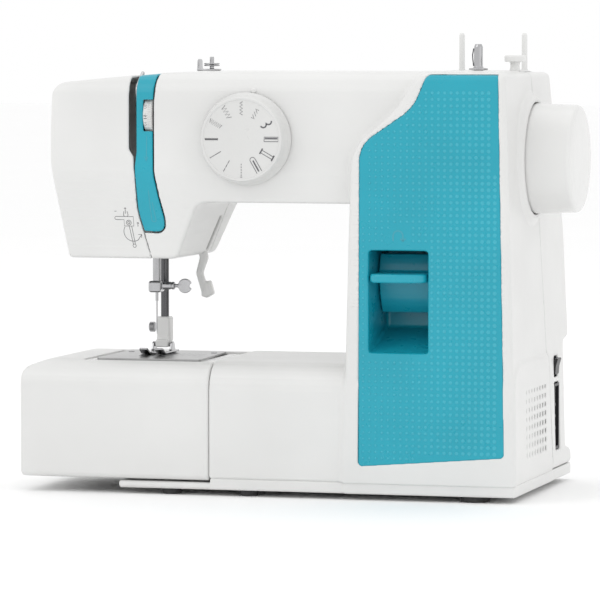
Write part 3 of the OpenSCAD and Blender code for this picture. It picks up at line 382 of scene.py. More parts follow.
def cast(name, clay, field):
    """Lays a mesh through the zero distance: one vertex per cell that the surface crosses."""
    field = np.broadcast_to(field, [len(a) for a in clay.axes])
    solid = field < 0
    size = [len(a) - 1 for a in clay.axes]
    corners = [(i, j, k) for i in (0, 1) for j in (0, 1) for k in (0, 1)]
    count = np.zeros(size, np.int8)
    for i, j, k in corners:
        count += solid[i:i + size[0], j:j + size[1], k:k + size[2]]
    cells = np.argwhere((count > 0) & (count < 8))
    index = np.full(size, -1, np.int32)
    index[tuple(cells.T)] = np.arange(len(cells))
    value = {c: field[tuple((cells + c).T)] for c in corners}
    total, hits = np.zeros((len(cells), 3)), np.zeros(len(cells))
    slope = np.zeros((len(cells), 3))
    widths = np.stack([np.diff(a)[cells[:, k]] for k, a in enumerate(clay.axes)], 1)
    for axis in range(3):
        for c in [c for c in corners if c[axis] == 0]:
            far = tuple(1 if k == axis else c[k] for k in range(3))
            a, b = value[c], value[far]
            slope[:, axis] += (b - a) / widths[:, axis]
            crossing = (a < 0) != (b < 0)
            along = np.where(crossing, a / np.where(crossing, a - b, 1), 0)
            for k in range(3):
                total[:, k] += crossing * (along if k == axis else c[k])
            hits += crossing
    places = np.stack([a[cells[:, k]] for k, a in enumerate(clay.axes)], 1) + total / hits[:, None] * widths
    normals = slope / np.maximum(np.linalg.norm(slope, axis=1), 1e-9)[:, None]
    faces = []
    for axis in range(3):
        u, v = np.eye(3, dtype=int)[(axis + 1) % 3], np.eye(3, dtype=int)[(axis + 2) % 3]
        low = np.take(solid, range(size[axis]), axis)
        high = np.take(solid, range(1, size[axis] + 1), axis)
        inner = tuple(slice(None) if k == axis else slice(1, -1) for k in range(3))
        edges = np.argwhere((low != high)[inner]) + (u + v)
        ring = np.stack([index[tuple((edges - m).T)] for m in (u + v, v, 0 * u, u)], 1)
        flip = ~low[tuple(edges.T)]
        ring[flip] = ring[flip][:, ::-1]
        faces.append(ring)
    faces = np.concatenate(faces)
    print(f"{name}: {len(places)} vertices, {len(faces)} faces")
    return mesh_object(name, places, faces, normals)


def dress(piece, body, finish, *nodes, slot=None):
    """Gives a piece its finish, its body and the model nodes that it stands for. The slot is not used."""
    piece.data.materials.clear()
    piece.data.materials.append(finishes[finish])
    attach(piece, body)
    if nodes:
        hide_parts(*nodes)
    return piece


# %% [markdown]
# ## The places that everything is measured from
# Pieces that meet have to agree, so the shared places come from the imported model's own boxes.

# %% Measure the model
def low(node, axis): return 1000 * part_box(node)[0][axis]
def high(node, axis): return 1000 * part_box(node)[1][axis]
def middle(node, axis): return (low(node, axis) + high(node, axis)) / 2


WALL, SEAM = 2.4, 0.3
x_left = low("accessory_box", 0)
x_right = high("base_tray", 0) + 0.5
y_front = low("base_tray", 1) - 0.8
y_back = high("rear_cover", 1)
z_base, z_top = low("front_cover", 2), high("front_cover", 2)
x_needle = middle("needle", 0)
y_needle = middle("needle", 1)
y_bar = middle("presser_bar", 1)
y_shaft = middle("main_shaft", 1)
z_shaft = middle("main_shaft", 2)
z_bed = high("needle_plate", 2)
z_head = low("face_cover", 2)
x_column = x_right - 120
y_arm = y_front + 8
y_arm_back = y_arm + 112
z_arm = z_top - 89
x_part = x_needle + 53.7
x_head_left, x_head_right, x_inner = x_needle - 62, x_needle + 26, x_needle + 43
y_column_back = y_back - 17
y_bed = y_front + 2
z_step = z_base + 86
wheel_r = (high("handwheel", 2) - low("handwheel", 2)) / 2
print("needle line x, y:", round(x_needle, 1), round(y_needle, 1), "bed", round(z_bed, 1), "top",
      round(z_top, 1))

# %% [markdown]
# ## The casing
# The casing is one smooth body cut into a front and a back shell along a leaning parting line, with
# the head's end as a hinged cover. So the whole body is described once, as a distance, and each
# moulding takes its own region of the 2.4 mm thick skin. The arm hangs between the head and the
# column, its front falls back below a soft crease, and the column swells at the back for the motor.

# %% The body of the machine
def arm_body(c):
    outline = c.front([[x_head_right, z_head, 6], [x_inner, z_arm, 10], [x_right - 14, z_arm, 0],
                       [x_right - 14, z_top + 3, 0], [x_needle + 50, z_top + 2.5, 0],
                       [x_head_left + 2.5, z_top - 8.2, 10], [x_head_left, z_top - 57, 60],
                       [x_head_left + 10.5, z_head, 2.5]])
    side = c.side([[y_arm + 14, z_head - 9, 0], [y_arm_back - 8, z_head - 9, 0], [y_arm_back, z_arm + 14, 12],
                   [y_arm_back, z_top, 18], [y_arm, z_top - 0.3, 17], [y_arm, z_top - 68, 26]])
    plan = c.plan([[x_head_left, y_arm, 5], [x_right - 12, y_arm, 0], [x_right - 12, y_arm_back, 0],
                   [x_head_left, y_arm_back, 18]])
    return both(both(outline, side, 2.0), plan, 0.4)


def bed_body(c):
    outline = c.front(oblong(x_part, z_base - 9, x_right - 2, z_bed + 9, 0))
    side = c.side([[y_bed, z_base, 0], [y_arm_back, z_base, 0], [y_arm_back, z_bed, 8], [y_bed, z_bed, 19]])
    return both(outline, side, 0.6)


def column_body(c):
    outline = c.front([[x_column, z_base - 9, 0], [x_right, z_base - 9, 0], [x_right - 8, z_top + 0.1, 5],
                       [x_column + 54, z_top + 0.1, 0], [x_column + 36, z_top - 26, 26],
                       [x_column + 6, z_top - 52, 28]])
    side = c.side([[y_front, z_base, 0], [y_back, z_base, 0], [y_back, z_base + 11, 4],
                   [y_column_back, z_base + 14, 3], [y_column_back, z_step, 3], [y_back, z_step + 3, 4],
                   [y_back - 7, z_step + 80, 60], [y_back - 41, z_top, 6], [y_front, z_top, 7]])
    to_right = np.clip((c.x - x_column - 30) / 60, 0, 1)
    to_back = np.clip((c.y - y_front - 20) / 40, 0, 1)
    soft = 2.0 + 1.3 * to_right * (1 - to_back) + 1.3 * to_back
    return both(outline, side, soft)


def whole_body(c):
    """The outer distance of the whole casing, as one solid."""
    return either(either(arm_body(c), bed_body(c), 3.0), column_body(c), 4.0)


def body_skin(c):
    """The casing hollowed to its wall, with the collar round the handwheel."""
    outer = whole_body(c)
    hollow = cut(outer, outer + WALL, 0.3)
    underside = c.box((x_part + 3, y_bed + 3, z_base - 9), (x_right - 4, y_arm_back - 3, z_base + 5))
    pedestal = c.box((x_column + 3, y_front + 5, z_base - 9), (x_right - 4, y_back - 3, z_base + 5))
    skin = cut(cut(hollow, underside), pedestal)
    collar = both(c.rod(0, (y_shaft, z_shaft), wheel_r + 4.8), c.slab(0, x_right - 8.5, x_right - 2), 2.5)
    skin = either(skin, collar, 5.0)
    return cut(skin, both(c.rod(0, (y_shaft, z_shaft), wheel_r + 0.8), x_right - 5.8 - c.x))


# %% Where the mouldings part
PARTING_FOOT, PARTING_LEAN = 120, 40


def parting(z): return y_front + PARTING_FOOT - PARTING_LEAN * (z - z_base) / (z_top - z_base)


def in_front(c):
    slope = PARTING_LEAN / (z_top - z_base)
    return (c.y - parting(np.maximum(c.z, z_base))) / math.hypot(1, slope)


x_slot_left, x_slot_right, z_slot = x_needle - 4.5, x_needle + 0.6, z_top - 53
y_strip = y_arm + 42


def face_edge(c):
    """The head's end: everything left of the slot and of the curved seam under it."""
    return c.front([[x_left - 30, z_head - 30, 0], [x_needle + 8.3, z_head - 30, 0],
                    [x_needle + 7.8, z_head, 40],
                    [x_needle - 0.4, z_head + 33, 50], [x_needle - 1.2, z_slot - 5.5, 3],
                    [x_slot_left, z_slot, 1],
                    [x_slot_left, z_top + 30, 0], [x_left - 30, z_top + 30, 0]])


def strip_shape(c):
    """The coloured strip beside the slot, widest at its rounded foot."""
    return both(c.front([[x_needle + 3.8, z_head + 19, 1.5], [x_needle + 18.2, z_head + 18.5, 5],
                         [x_needle + 18.2, z_head + 28, 12], [x_needle + 15, z_head + 42, 20],
                         [x_needle + 12.3, z_head + 58, 40], [x_needle + 12.2, z_top - 24, 60],
                         [x_needle + 15, z_top + 20, 0], [x_slot_right, z_top + 20, 0],
                         [x_slot_right, z_slot - 2, 12], [x_needle - 0.7, z_slot - 12, 30],
                         [x_needle + 0.1, z_head + 33, 50]]), c.y - y_strip, 3.0)


def slot_shape(c):
    return both(c.front([[x_slot_left, z_slot, 0], [x_needle - 1.1, z_slot - 6.5, 0],
                         [x_slot_right, z_slot - 6.5, 0],
                         [x_slot_right, z_top + 20, 0], [x_slot_left, z_top + 20, 0]]), c.y - y_strip, 1.0)


PANEL = [[x_column + 11.2, z_base + 10.8, 3], [x_right - 7.9, z_base + 18.6, 3],
         [x_right - 12.8, z_top - 2, 1.5], [x_column + 58.3, z_top - 2, 4],
         [x_column + 49, z_top - 24, 30], [x_column + 12, z_top - 49, 20]]


def panel_shape(c): return c.front(PANEL)


def through_top(c): return z_top - 8 - c.z


def head_mouth(c):
    return c.box((x_needle - 40, y_arm + 20, z_head - 9), (x_needle + 22, y_bar + 22, z_head + 12), 2.0)


def lifter_gap(c):
    return c.box((x_needle + 10, y_bar + 8, z_head - 9), (x_inner + 6, y_bar + 14.2, z_head + 27), 1.0)


# %% [markdown]
# The front shell runs from the head's seam to the right-hand side of the column. It is cut for the
# coloured panel, the strip, the take-up slot, the winder's slot and the rows of cooling vents low on
# the side. Grid lines are drawn closer together around the vents, so that their small corners hold.

# %% The front shell
def column_front_cut(c, gap):
    return both(panel_shape(c) - gap, c.y - (y_front + 14))


def vents(c):
    """Rows of cooling slots that widen towards the back."""
    grid = np.full(np.broadcast(c.y, c.z).shape, 1e3)
    for k in range(8):
        y = y_front + 36 + 8.4 * k
        for row in range(8):
            z = z_base + 16 + 6.1 * row
            hole = both(c.slab(1, y, y + 1.6 + 0.35 * k), c.slab(2, z, z + 2.9), 0.5)
            grid = np.minimum(grid, hole)
    return np.maximum(grid, x_right - 8 - c.x)


def front_shell():
    c = Clay((x_needle - 6, y_front, z_base), (x_right, y_front + 121, z_top), 1.2,
             x=[(x_needle - 8, x_needle + 22, 0.8), (x_right - 18, x_right - 6, 0.7)],
             y=[(y_front + 34, y_front + 100, 0.8)],
             z=[(z_base + 8, z_base + 64, 0.75)])
    skin = body_skin(c)
    made = both(skin, in_front(c), 0.5)
    made = cut(made, face_edge(c) - SEAM, 0.6)
    made = cut(made, strip_shape(c) - 1.0, 0.8)
    made = cut(made, slot_shape(c), 0.3)
    made = cut(made, column_front_cut(c, -0.3), 0.2)
    made = cut(made, head_mouth(c), 0.6)
    made = cut(made, lifter_gap(c), 0.6)
    made = cut(made, vents(c), 0.25)
    made = cut(made, np.maximum(c.rod(1, (x_needle + 79, z_top - 45.5), 6), c.y - y_arm - 12))
    made = cut(made, np.maximum(c.rod(0, (y_shaft, z_shaft), 10), x_right - 30 - c.x))
    winder = c.plan(oblong(x_right - 47.5, y_shaft - 4.3, x_right - 32.2, y_shaft + 4.3, 4))
    made = cut(made, np.maximum(winder, through_top(c)), 0.4)
    made = cut(made, np.maximum(c.rod(2, (x_right - 17.5, y_shaft), 3.3), through_top(c)))
    window = c.box((x_part - 5, y_front + 26, z_bed - 50), (x_part + 8, y_front + 94, z_bed - 9.5))
    return cast("front_shell", c, cut(made, window, 0.3))


dress(front_shell(), "machine", "white_moulding", "front_cover")

# %% The back shell
def back_shell():
    c = Clay((x_head_left, y_front + 78, z_base), (x_right, y_back, z_top), 1.4,
             y=[(y_front + 78, y_front + 122, 1.0)])
    skin = body_skin(c)
    made = cut(skin, in_front(c) - SEAM, 0.5)
    for x in (x_right - 62, x_right - 18):
        made = cut(made, np.maximum(c.rod(2, (x, y_front + 105), 2.5), through_top(c)), 0.4)
    for z0, z1, y0, y1 in ((64, 78, 132, 145), (13, 59.5, 131.5, 147)):
        hole = c.box((x_right - 9, y_front + y0, z_base + z0), (x_right + 5, y_front + y1, z_base + z1), 1.0)
        made = cut(made, hole, 0.4)
    made = cut(made, head_mouth(c), 0.6)
    return cast("back_shell", c, cut(made, lifter_gap(c), 0.6))


dress(back_shell(), "machine", "white_moulding", "rear_cover")

# %% [markdown]
# The head's end cover swings open on its back edge. It is cast from the same body, so its surface
# runs on from the front shell without a step, and only the thin seam shows.

# %% The head's end cover
def end_cover():
    c = Clay((x_head_left, y_arm, z_head), (x_needle + 12, y_front + 100, z_top), 1.3,
             x=[(x_needle - 8, x_needle + 13, 0.8)])
    skin = body_skin(c)
    made = both(both(skin, in_front(c) + SEAM, 0.5), face_edge(c), 0.6)
    return cast("end_cover", c, cut(made, head_mouth(c), 0.6))


dress(end_cover(), "face_cover", "white_moulding", "face_cover")

# %% The coloured strip
def strip():
    c = Clay((x_needle - 3, y_arm, z_head + 16), (x_needle + 20, y_strip, z_top), 0.7)
    outer = whole_body(c)
    made = both(cut(outer + 0.5, outer + WALL + 0.6), strip_shape(c), 0.8)
    window = c.box((x_needle + 5.4, y_arm - 9, z_top - 40.7), (x_needle + 19, y_arm + 9, z_top - 19.3), 0.6)
    return cast("strip", c, cut(made, window, 0.4))


dress(strip(), "machine", "turquoise", "thread_strip")

# %% [markdown]
# ## The coloured panel on the column
# The panel is a separate moulding let into the column's front, up to its rounded top edge, and a
# box is moulded into it for the reverse lever, open in front, with a floor that slopes down towards
# the user. Its face carries a field of small raised dots, which hide finger marks on the real thing.

# %% The panel with its pocket
x_pocket, z_pocket = low("reverse_lever", 0) - 1, z_top - 189
pocket_w, pocket_h = high("reverse_lever", 0) - low("reverse_lever", 0) + 2, 69.5
y_pocket = y_front + 52


def panel():
    c = Clay((x_column + 8, y_front, z_base + 10), (x_right - 6, y_pocket + 3, z_top), 1.4,
             x=[(x_pocket - 6, x_pocket + 4, 0.8), (x_pocket + pocket_w - 4, x_pocket + pocket_w + 6, 0.8),
                (x_right - 18, x_right - 6, 0.7)],
             y=[(y_front - 3, y_front + 10, 0.7)],
             z=[(z_base + 8, z_base + 22, 0.7), (z_pocket - 6, z_pocket + 4, 0.8),
                (z_pocket + 64, z_pocket + 76, 0.8)])
    body = column_body(c)
    sheet = both(cut(body + 0.1, body + WALL + 0.8), both(panel_shape(c), c.y - (y_front + 13.6)), 0.5)
    deep = y_pocket - y_front
    outside = c.box((x_pocket - 2, y_front + 1.5, z_pocket - 2),
                    (x_pocket + pocket_w + 2, y_pocket + 2, z_pocket + pocket_h + 2), 1.5)
    slope = (c.z - z_pocket - 15 * (c.y - y_front) / deep) / math.hypot(1, 15 / deep)
    inside = both(c.box((x_pocket, y_front - 12, z_pocket),
                        (x_pocket + pocket_w, y_pocket, z_pocket + pocket_h), 2.2),
                  -slope, 2.0)
    rest = (x_pocket + pocket_w / 2, high("reverse_lever", 1))
    slit = c.box((rest[0] - 3, y_pocket - 2, z_pocket + 41), (rest[0] + 3, y_pocket + 9, z_pocket + 57))
    made = cut(either(sheet, outside, 0.6), inside, 1.4)
    return cast("panel", c, cut(made, slit, 0.3))


dress(panel(), "machine", "turquoise", "column_panel")

# %% [markdown]
# The dots are tiny domes on a square grid. Towards the right they grow into shallow rings. Making
# them as geometry, with twelve sides each, keeps their glint right from every side.

# %% The field of dots
def polygons(name, places, faces, flat=False, sharp=35):
    """Makes a mesh object from places in millimetres and faces of any number of corners."""
    mesh = bpy.data.meshes.new(name)
    mesh.from_pydata([tuple(v * MM for v in p) for p in places], [], [list(map(int, f)) for f in faces])
    mesh.validate()
    mesh.update()
    if not flat:
        mesh.shade_smooth()
        mesh.set_sharp_from_angle(angle=math.radians(sharp))
    return placed(name, mesh)


DOT_SIDES, DOT_PITCH = 12, 4.3


def dot_field():
    xs = np.arange(x_column + 15, x_right - 10, DOT_PITCH)
    zs = np.arange(z_base + 17, z_top - 13, DOT_PITCH)
    inside = distance(rounded(PANEL), xs[:, None], zs[None, :])
    frame_u = np.maximum(x_pocket - xs, xs - x_pocket - pocket_w)[:, None]
    frame_v = np.maximum(z_pocket - zs, zs - z_pocket - pocket_h)[None, :]
    keep = (inside < -3.2) & (np.maximum(frame_u, frame_v) > 2.5)
    mark = np.hypot(xs[:, None] - x_pocket - pocket_w / 2, zs[None, :] - z_pocket - pocket_h - 10.5)
    keep &= mark > 8
    places, faces = [], []
    for i, k in np.argwhere(keep):
        share = (xs[i] - xs[0]) / (xs[-1] - xs[0])
        r = 0.75 + 0.75 * share
        dish = max(0, share - 0.45) * 0.5
        first = len(places)
        for ring, up in ((1.0, -0.1), (0.82, 0.24), (0.5, 0.34 - 0.5 * dish), (0.2, 0.36 - dish)):
            for s in range(DOT_SIDES):
                w = math.tau * s / DOT_SIDES
                places.append((xs[i] + ring * r * math.cos(w), y_front + 0.1 - up,
                               zs[k] + ring * r * math.sin(w)))
        for ring in range(3):
            faces += band(first + DOT_SIDES * ring, first + DOT_SIDES * (ring + 1), DOT_SIDES)
        faces.append([first + 3 * DOT_SIDES + s for s in range(DOT_SIDES)])
    print("dots on the panel:", int(keep.sum()))
    return polygons("panel_dots", places, faces, sharp=70)


dress(dot_field(), "machine", "dot_turquoise")

# %% [markdown]
# ## Marks pressed and printed on the casing
# A mark is a thin ribbon of flat quads laid along a line. Strokes are drawn in flat coordinates, and
# a function then sets each point on its surface. On the head it casts a ray, to follow the curve.
# The pressed marks get no groove: they are ribbons of a greyer teal, painted shading that stands in
# for the light and shade in their grooves.

# %% Ribbons along strokes
def stroke_mesh(name, strokes, width, onto, finish, body, slot=None):
    """Lays flat strokes on a surface; onto turns a flat point into a place in millimetres."""
    places, faces = [], []
    for line in strokes:
        line = np.array(line, float)
        steps = np.diff(line, axis=0)
        along = np.vstack([steps[:1], steps[:-1] + steps[1:],
                           steps[-1:]]) if len(steps) > 1 else np.vstack([steps, steps])
        along /= np.maximum(np.linalg.norm(along, axis=1), 1e-9)[:, None]
        across = np.stack([-along[:, 1], along[:, 0]], 1) * width / 2
        first = len(places)
        for p, n in zip(line, across):
            places += [onto(*(p - n)), onto(*(p + n))]
        faces += [(first + 2 * k, first + 2 * k + 1, first + 2 * k + 3,
                   first + 2 * k + 2) for k in range(len(line) - 1)]
    return dress(polygons(name, places, faces, flat=True), body, finish, slot=slot)


def arc(u, v, r, start, end, steps=10):
    turns = np.radians(np.linspace(start, end, steps + 1))
    return [(u + r * math.cos(w), v + r * math.sin(w)) for w in turns]


def u_turn(u, v, s):
    """The round-about arrow that marks where thread or stitching turns back."""
    return [[(u - s, v - s), (u - s, v)] + arc(u, v, s, 180, 0)[1:] + [(u + s, v - s)],
            [(u + s * 0.5, v - s * 0.5), (u + s, v - s * 1.1), (u + s * 1.5, v - s * 0.5)]]


# The reverse mark is pressed into the panel; its greyer teal ribbon is painted groove shading.
stroke_mesh("reverse_mark", u_turn(x_pocket + pocket_w / 2, z_pocket + pocket_h + 10, 3.4), 0.9,
            lambda u, v: (u, y_front + 0.02, v), "painted_groove_shading", "machine")

# %% The threading drawing on the end cover
def on_front(name):
    """Drops flat points onto the front of a piece, a hair above its surface."""
    target = bpy.data.objects[name]

    def place(u, v):
        hit, spot, _, _ = target.ray_cast((u * MM, -0.3, v * MM), (0, 1, 0))
        return (u, spot.y / MM - 0.06, v) if hit else (u, y_arm, v)
    return place


def threading_drawing():
    u, v = x_needle - 8.8, z_head + 19.2
    lines = [
        [(u - 10, v + 17), (u + 11, v + 17)],
        [(u, v + 20.5), (u, v + 15)], [(u - 1, v + 19.6), (u + 1, v + 19.6)],
        [(u - 1.4, v + 17), (u - 1.8, v + 13.5), (u - 0.8, v + 12.3)],
        [(u + 1.6, v + 17), (u + 2.4, v + 13.6), (u + 1.2, v + 12.4)],
        [(u - 8.6, v + 12.4), (u + 7, v + 12.4), (u + 7, v + 4), (u - 1.6, v + 4), (u - 1.6, v + 9.6),
         (u - 8.6, v + 9.6)] + arc(u - 8.6, v + 11, 1.4, 270, 90)[1:],
        arc(u + 2.6, v + 7, 2.2, 0, 360, 14), arc(u + 2.6, v + 7, 1.0, 0, 360, 10),
        [(u + 2.8, v + 4), (u + 5.6, v - 12)], [(u + 5, v + 4), (u + 7.4, v - 12)],
        arc(u + 6.6, v - 13.4, 1.5, 0, 360, 10),
        arc(u + 6, v - 1, 8.4, 150, 300, 14), [(u + 10.2, v - 8.3), (u + 13.6, v - 3.5)],
        [(u + 10.6, v - 3.4), (u + 13.8, v - 3.3), (u + 13.4, v - 6.2)],
        arc(u + 10.8, v + 6.6, 0.7, 0, 360, 8), [(u + 10.8, v + 5.4), (u + 10.8, v + 3.6)]]
    return [[(u + 0.78 * (a - u), v + 0.78 * (b - v)) for a, b in line] for line in lines]


stroke_mesh("threading_drawing", threading_drawing(), 0.38, on_front("end_cover"), "grey_ink", "face_cover")
x_hook, z_hook = x_needle + 11.2, z_head + 27
# The arrows are pressed into the strip; their greyer teal ribbon is painted groove shading.
strip_arrows = [
    [(x_needle + 8.2, z_slot + 9), (x_needle + 7.8, z_slot - 8)],
    [(x_needle + 6.6, z_slot - 5), (x_needle + 7.8, z_slot - 8), (x_needle + 9.0, z_slot - 5)],
    [(x_needle + 8.4, z_head + 47), (x_needle + 9.6, z_hook)] + arc(x_hook, z_hook, 1.6, 180, 340)
    + [(x_needle + 10.6, z_head + 39)]]
stroke_mesh("strip_arrows", strip_arrows, 0.55, on_front("strip"), "painted_groove_shading", "machine")

# %% [markdown]
# ## Turned and round pieces
# Knobs, pins, feet and screws are bodies of revolution, so one function turns a profile of
# (radius, height) corners round an axis. Corner radii in the profile give the small rounded edges
# that catch the light.

# %% Turning a profile
AXES = {"-y": ((1, 0, 0), (0, 0, 1), (0, -1, 0)), "x": ((0, 1, 0), (0, 0, 1), (1, 0, 0)),
        "-x": ((0, 0, 1), (0, 1, 0), (-1, 0, 0)),
        "y": ((0, 0, 1), (1, 0, 0), (0, 1, 0)), "z": ((1, 0, 0), (0, 1, 0), (0, 0, 1))}


def turned(name, profile, centre, axis="z", around=64):
    """Turns an outline of [radius, height, rounding] corners round an axis through centre."""
    loop = rounded([[r, h, e] for r, h, e in profile], 5)
    u, v, w = (np.array(a, float) for a in AXES[axis])
    loop = np.array([p for k, p in enumerate(loop) if k == 0 or np.linalg.norm(p - loop[k - 1]) > 1e-4])
    places, faces, rows = [], [], []
    for r, h in loop:
        if r < 1e-3:
            rows.append([len(places)] * around)
            places.append(np.array(centre) + w * h)
        else:
            rows.append(list(range(len(places), len(places) + around)))
            places += [np.array(centre) + w * h + r * (u * math.cos(t) + v * math.sin(t))
                       for t in np.linspace(0, math.tau, around, endpoint=False)]
    closed = profile[0][0] > 1e-3 or profile[-1][0] > 1e-3
    for a, b in zip(rows, rows[1:] + rows[:1]) if closed else zip(rows, rows[1:]):
        for s in range(around):
            t = (s + 1) % around
            face = list(dict.fromkeys([a[s], a[t], b[t], b[s]]))
            if len(face) > 2:
                faces.append(face)
    return polygons(name, places, faces, sharp=40)


def knurled(name, centre, axis, radius, low_h, high_h, teeth=24, deep=0.35):
    """A thumb screw's head: a short drum with grooves along it and bevelled ends."""
    u, v, w = (np.array(a, float) for a in AXES[axis])
    places, faces = [], []
    heights = ((radius - 0.6, low_h), (radius, low_h + 0.5), (radius, high_h - 0.5), (radius - 0.6, high_h))
    for r, h in heights:
        for s in range(teeth * 4):
            t = math.tau * s / (teeth * 4)
            reach = r - (deep if s % 4 in (0, 1) else 0)
            places.append(np.array(centre) + w * h + reach * (u * math.cos(t) + v * math.sin(t)))
    n = teeth * 4
    for k in range(3):
        faces += band(k * n, (k + 1) * n, n)
    faces += [list(range(n))[::-1], list(range(3 * n, 4 * n))]
    return polygons(name, places, faces, sharp=25)


# %% [markdown]
# The handwheel is a hollow moulding. Its rim is smooth and slightly conical for the mould, and its
# outer face is a shallow dome with a soft edge. Inside is the hub that sits on the shaft.

# %% The handwheel
x_wheel = low("handwheel", 0)
wheel_w = high("handwheel", 0) - x_wheel
y_axis = middle("handwheel", 1)
dress(turned("wheel", [[4.1, 3, 0], [9, 3, 0.6], [9, wheel_w - 8, 1.5], [wheel_r - 5, wheel_w - 10, 4],
                       [wheel_r - 3, 0.6, 0.5], [wheel_r - 0.2, 0, 1.2], [wheel_r, 3, 0.8],
                       [wheel_r - 1.0, wheel_w - 1.0, 3.2], [wheel_r - 14, wheel_w - 0.2, 30],
                       [0, wheel_w, 0],
                       [0, wheel_w - 4, 0], [4.1, wheel_w - 4, 0]],
             (x_wheel, y_axis, z_shaft), "x", 128), "handwheel", "white_gloss", "handwheel")

# %% [markdown]
# The stitch dial is a flat disc with a thin raised rim on a wider skirt. Twelve small stitch pictures
# stand round it like spokes; they are printed, so they are ribbons a hair above the face.

# %% The stitch dial
x_dial, z_dial = middle("stitch_dial", 0), middle("stitch_dial", 2)
y_dial = low("stitch_dial", 1)
dial_r, dial_h = 28.5, y_arm - 0.6 - y_dial
dress(turned("dial", [[0, -20, 0], [4, -20, 0.6], [4, 0.2, 0], [dial_r + 3, 0.2, 0.4], [dial_r + 3, 1.6, 0.8],
                      [dial_r + 1.4, 5.5, 3], [dial_r, dial_h - 1.0, 0.8], [dial_r - 0.5, dial_h, 0.5],
                      [dial_r - 1.6, dial_h, 0.4], [dial_r - 2.2, dial_h - 0.7, 0.5], [0, dial_h - 0.6, 0]],
             (x_dial, y_arm - 0.6, z_dial), "-y", 128), "stitch_dial", "dial_white", "stitch_dial")


def zigzag(start, end, count, high_v, slant=0.5):
    """A zigzag along the spoke, from start to end millimetres out, count teeth."""
    line = []
    for k in range(count):
        a = start + (end - start) * k / count
        line += [(a, -high_v), (a + (end - start) / count * slant, high_v)]
    return line + [(end, -high_v)]


def dashes(start, end, count, v=0.0, share=0.6):
    step = (end - start) / count
    return [[(start + step * k, v), (start + step * (k + share), v)] for k in range(count)]


def stitch_pictures():
    """Thin and bold strokes of the twelve pictures, clockwise from the left."""
    a, b = 16.4, 25.4
    scallop = [p for k in range(2) for p in arc(a + 2 + 4.2 * k, 1.0, 2.1, 180, 340, 8)]
    box = [(a - 0.4, -1.4), (b + 0.4, -1.4), (b + 0.4, 1.6), (a - 0.4, 1.6), (a - 0.4, -1.4)]
    thin = [
        [zigzag(a, b, 13, 0.8)], [zigzag(a, b, 7, 1.5)], [zigzag(a, b, 4, 1.7)],
        [zigzag(a, b, 4, 1.0)],
        [[(a, 1.4), (a, -1), (a + 2.2, 1.4), (a + 2.2, -1), (a + 4.4, 1.4), (a + 4.4, -1), (a + 6.6, 1.4),
          (a + 6.6, -1)]],
        [], [box], [[(a, -0.9), (b, -0.9)], [(a, 1.1), (b, 1.1)]],
        [[(a - 0.4, -1.8), (b, -1.8)], [(a - 0.4, 1.9), (b, 1.9)], arc(a - 0.4, 0, 1.85, 90, 270)],
        dashes(a, b, 5) + [[(b, 0.6), (b, -0.6)]], dashes(a, b, 3, share=0.85), [[(a, 0), (b, 0)]]]
    bold = [[(a, 0), (b, 0)]], [], [], [], [], [scallop], [[(a, 0.6), (b, 0.6)]], \
        [[(a - 0.4, -2), (a - 0.4, 2.2)], [(b, -2), (b, 2.2)]], [[(a, 0), (b - 0.6, 0)]], [], [], []
    return thin, bold


def on_dial(lines, turn):
    w = math.radians(180 - turn)
    return [[(x_dial + p[0] * math.cos(w) - p[1] * math.sin(w),
              z_dial + p[0] * math.sin(w) + p[1] * math.cos(w))
             for p in line] for line in lines]


thin, bold = stitch_pictures()


def dial_face(u, v): return u, y_dial + 0.55, v


PICTURE_TURN = 30
for name, pictures, width in (("stitch_lines", thin, 0.42), ("stitch_bars", bold, 0.95)):
    lines = [line for k, drawn in enumerate(pictures) for line in on_dial(drawn, PICTURE_TURN * k)]
    stroke_mesh(name, lines, width, dial_face, "grey_ink", "stitch_dial")
dress(turned("dial_pointer", [[0, -1, 0], [2.1, -1, 0], [2.1, 0.5, 0.4], [1.2, 1.4, 0.6], [0, 1.5, 0]],
             (x_dial + 4.8, y_arm + 0.5, z_dial + 32.4), "-y", 24), "machine", "white_moulding")

# %% [markdown]
# The tension wheel stands edge-on in a window of the strip. Its rim carries the numbers 1 to 9 and
# fine grip ribs on one side; the small dark square marks the usual setting.

# %% The tension wheel
x_tension, y_tension, z_tension = [middle("tension_wheel", k) for k in range(3)]
wheel_half = (high("tension_wheel", 0) - low("tension_wheel", 0)) / 2
tension_r = (high("tension_wheel", 2) - low("tension_wheel", 2)) / 2


def tension_wheel():
    n, rows, places, faces = 180, [], [], []
    profile = [(2.6, -1, 0), (8, -1, 0), (tension_r - 1, -1, 0), (tension_r - 0.2, -0.8, 0),
               (tension_r - 0.2, 0.15, 0),
               (tension_r, 0.3, 1), (tension_r, 0.85, 1), (tension_r - 1, 1, 0), (8, 1, 0), (2.6, 1, 0)]
    for r, h, ribbed in profile:
        rows.append(len(places))
        for s in range(n):
            t = math.tau * s / n
            reach = r - (0.45 if ribbed and s % 4 < 2 else 0)
            places.append((x_tension + h * wheel_half, y_tension + reach * math.cos(t),
                           z_tension + reach * math.sin(t)))
    for a, b in zip(rows, rows[1:] + rows[:1]):
        faces += band(a, b, n)
    return polygons("tension_dial", places, faces, sharp=30)


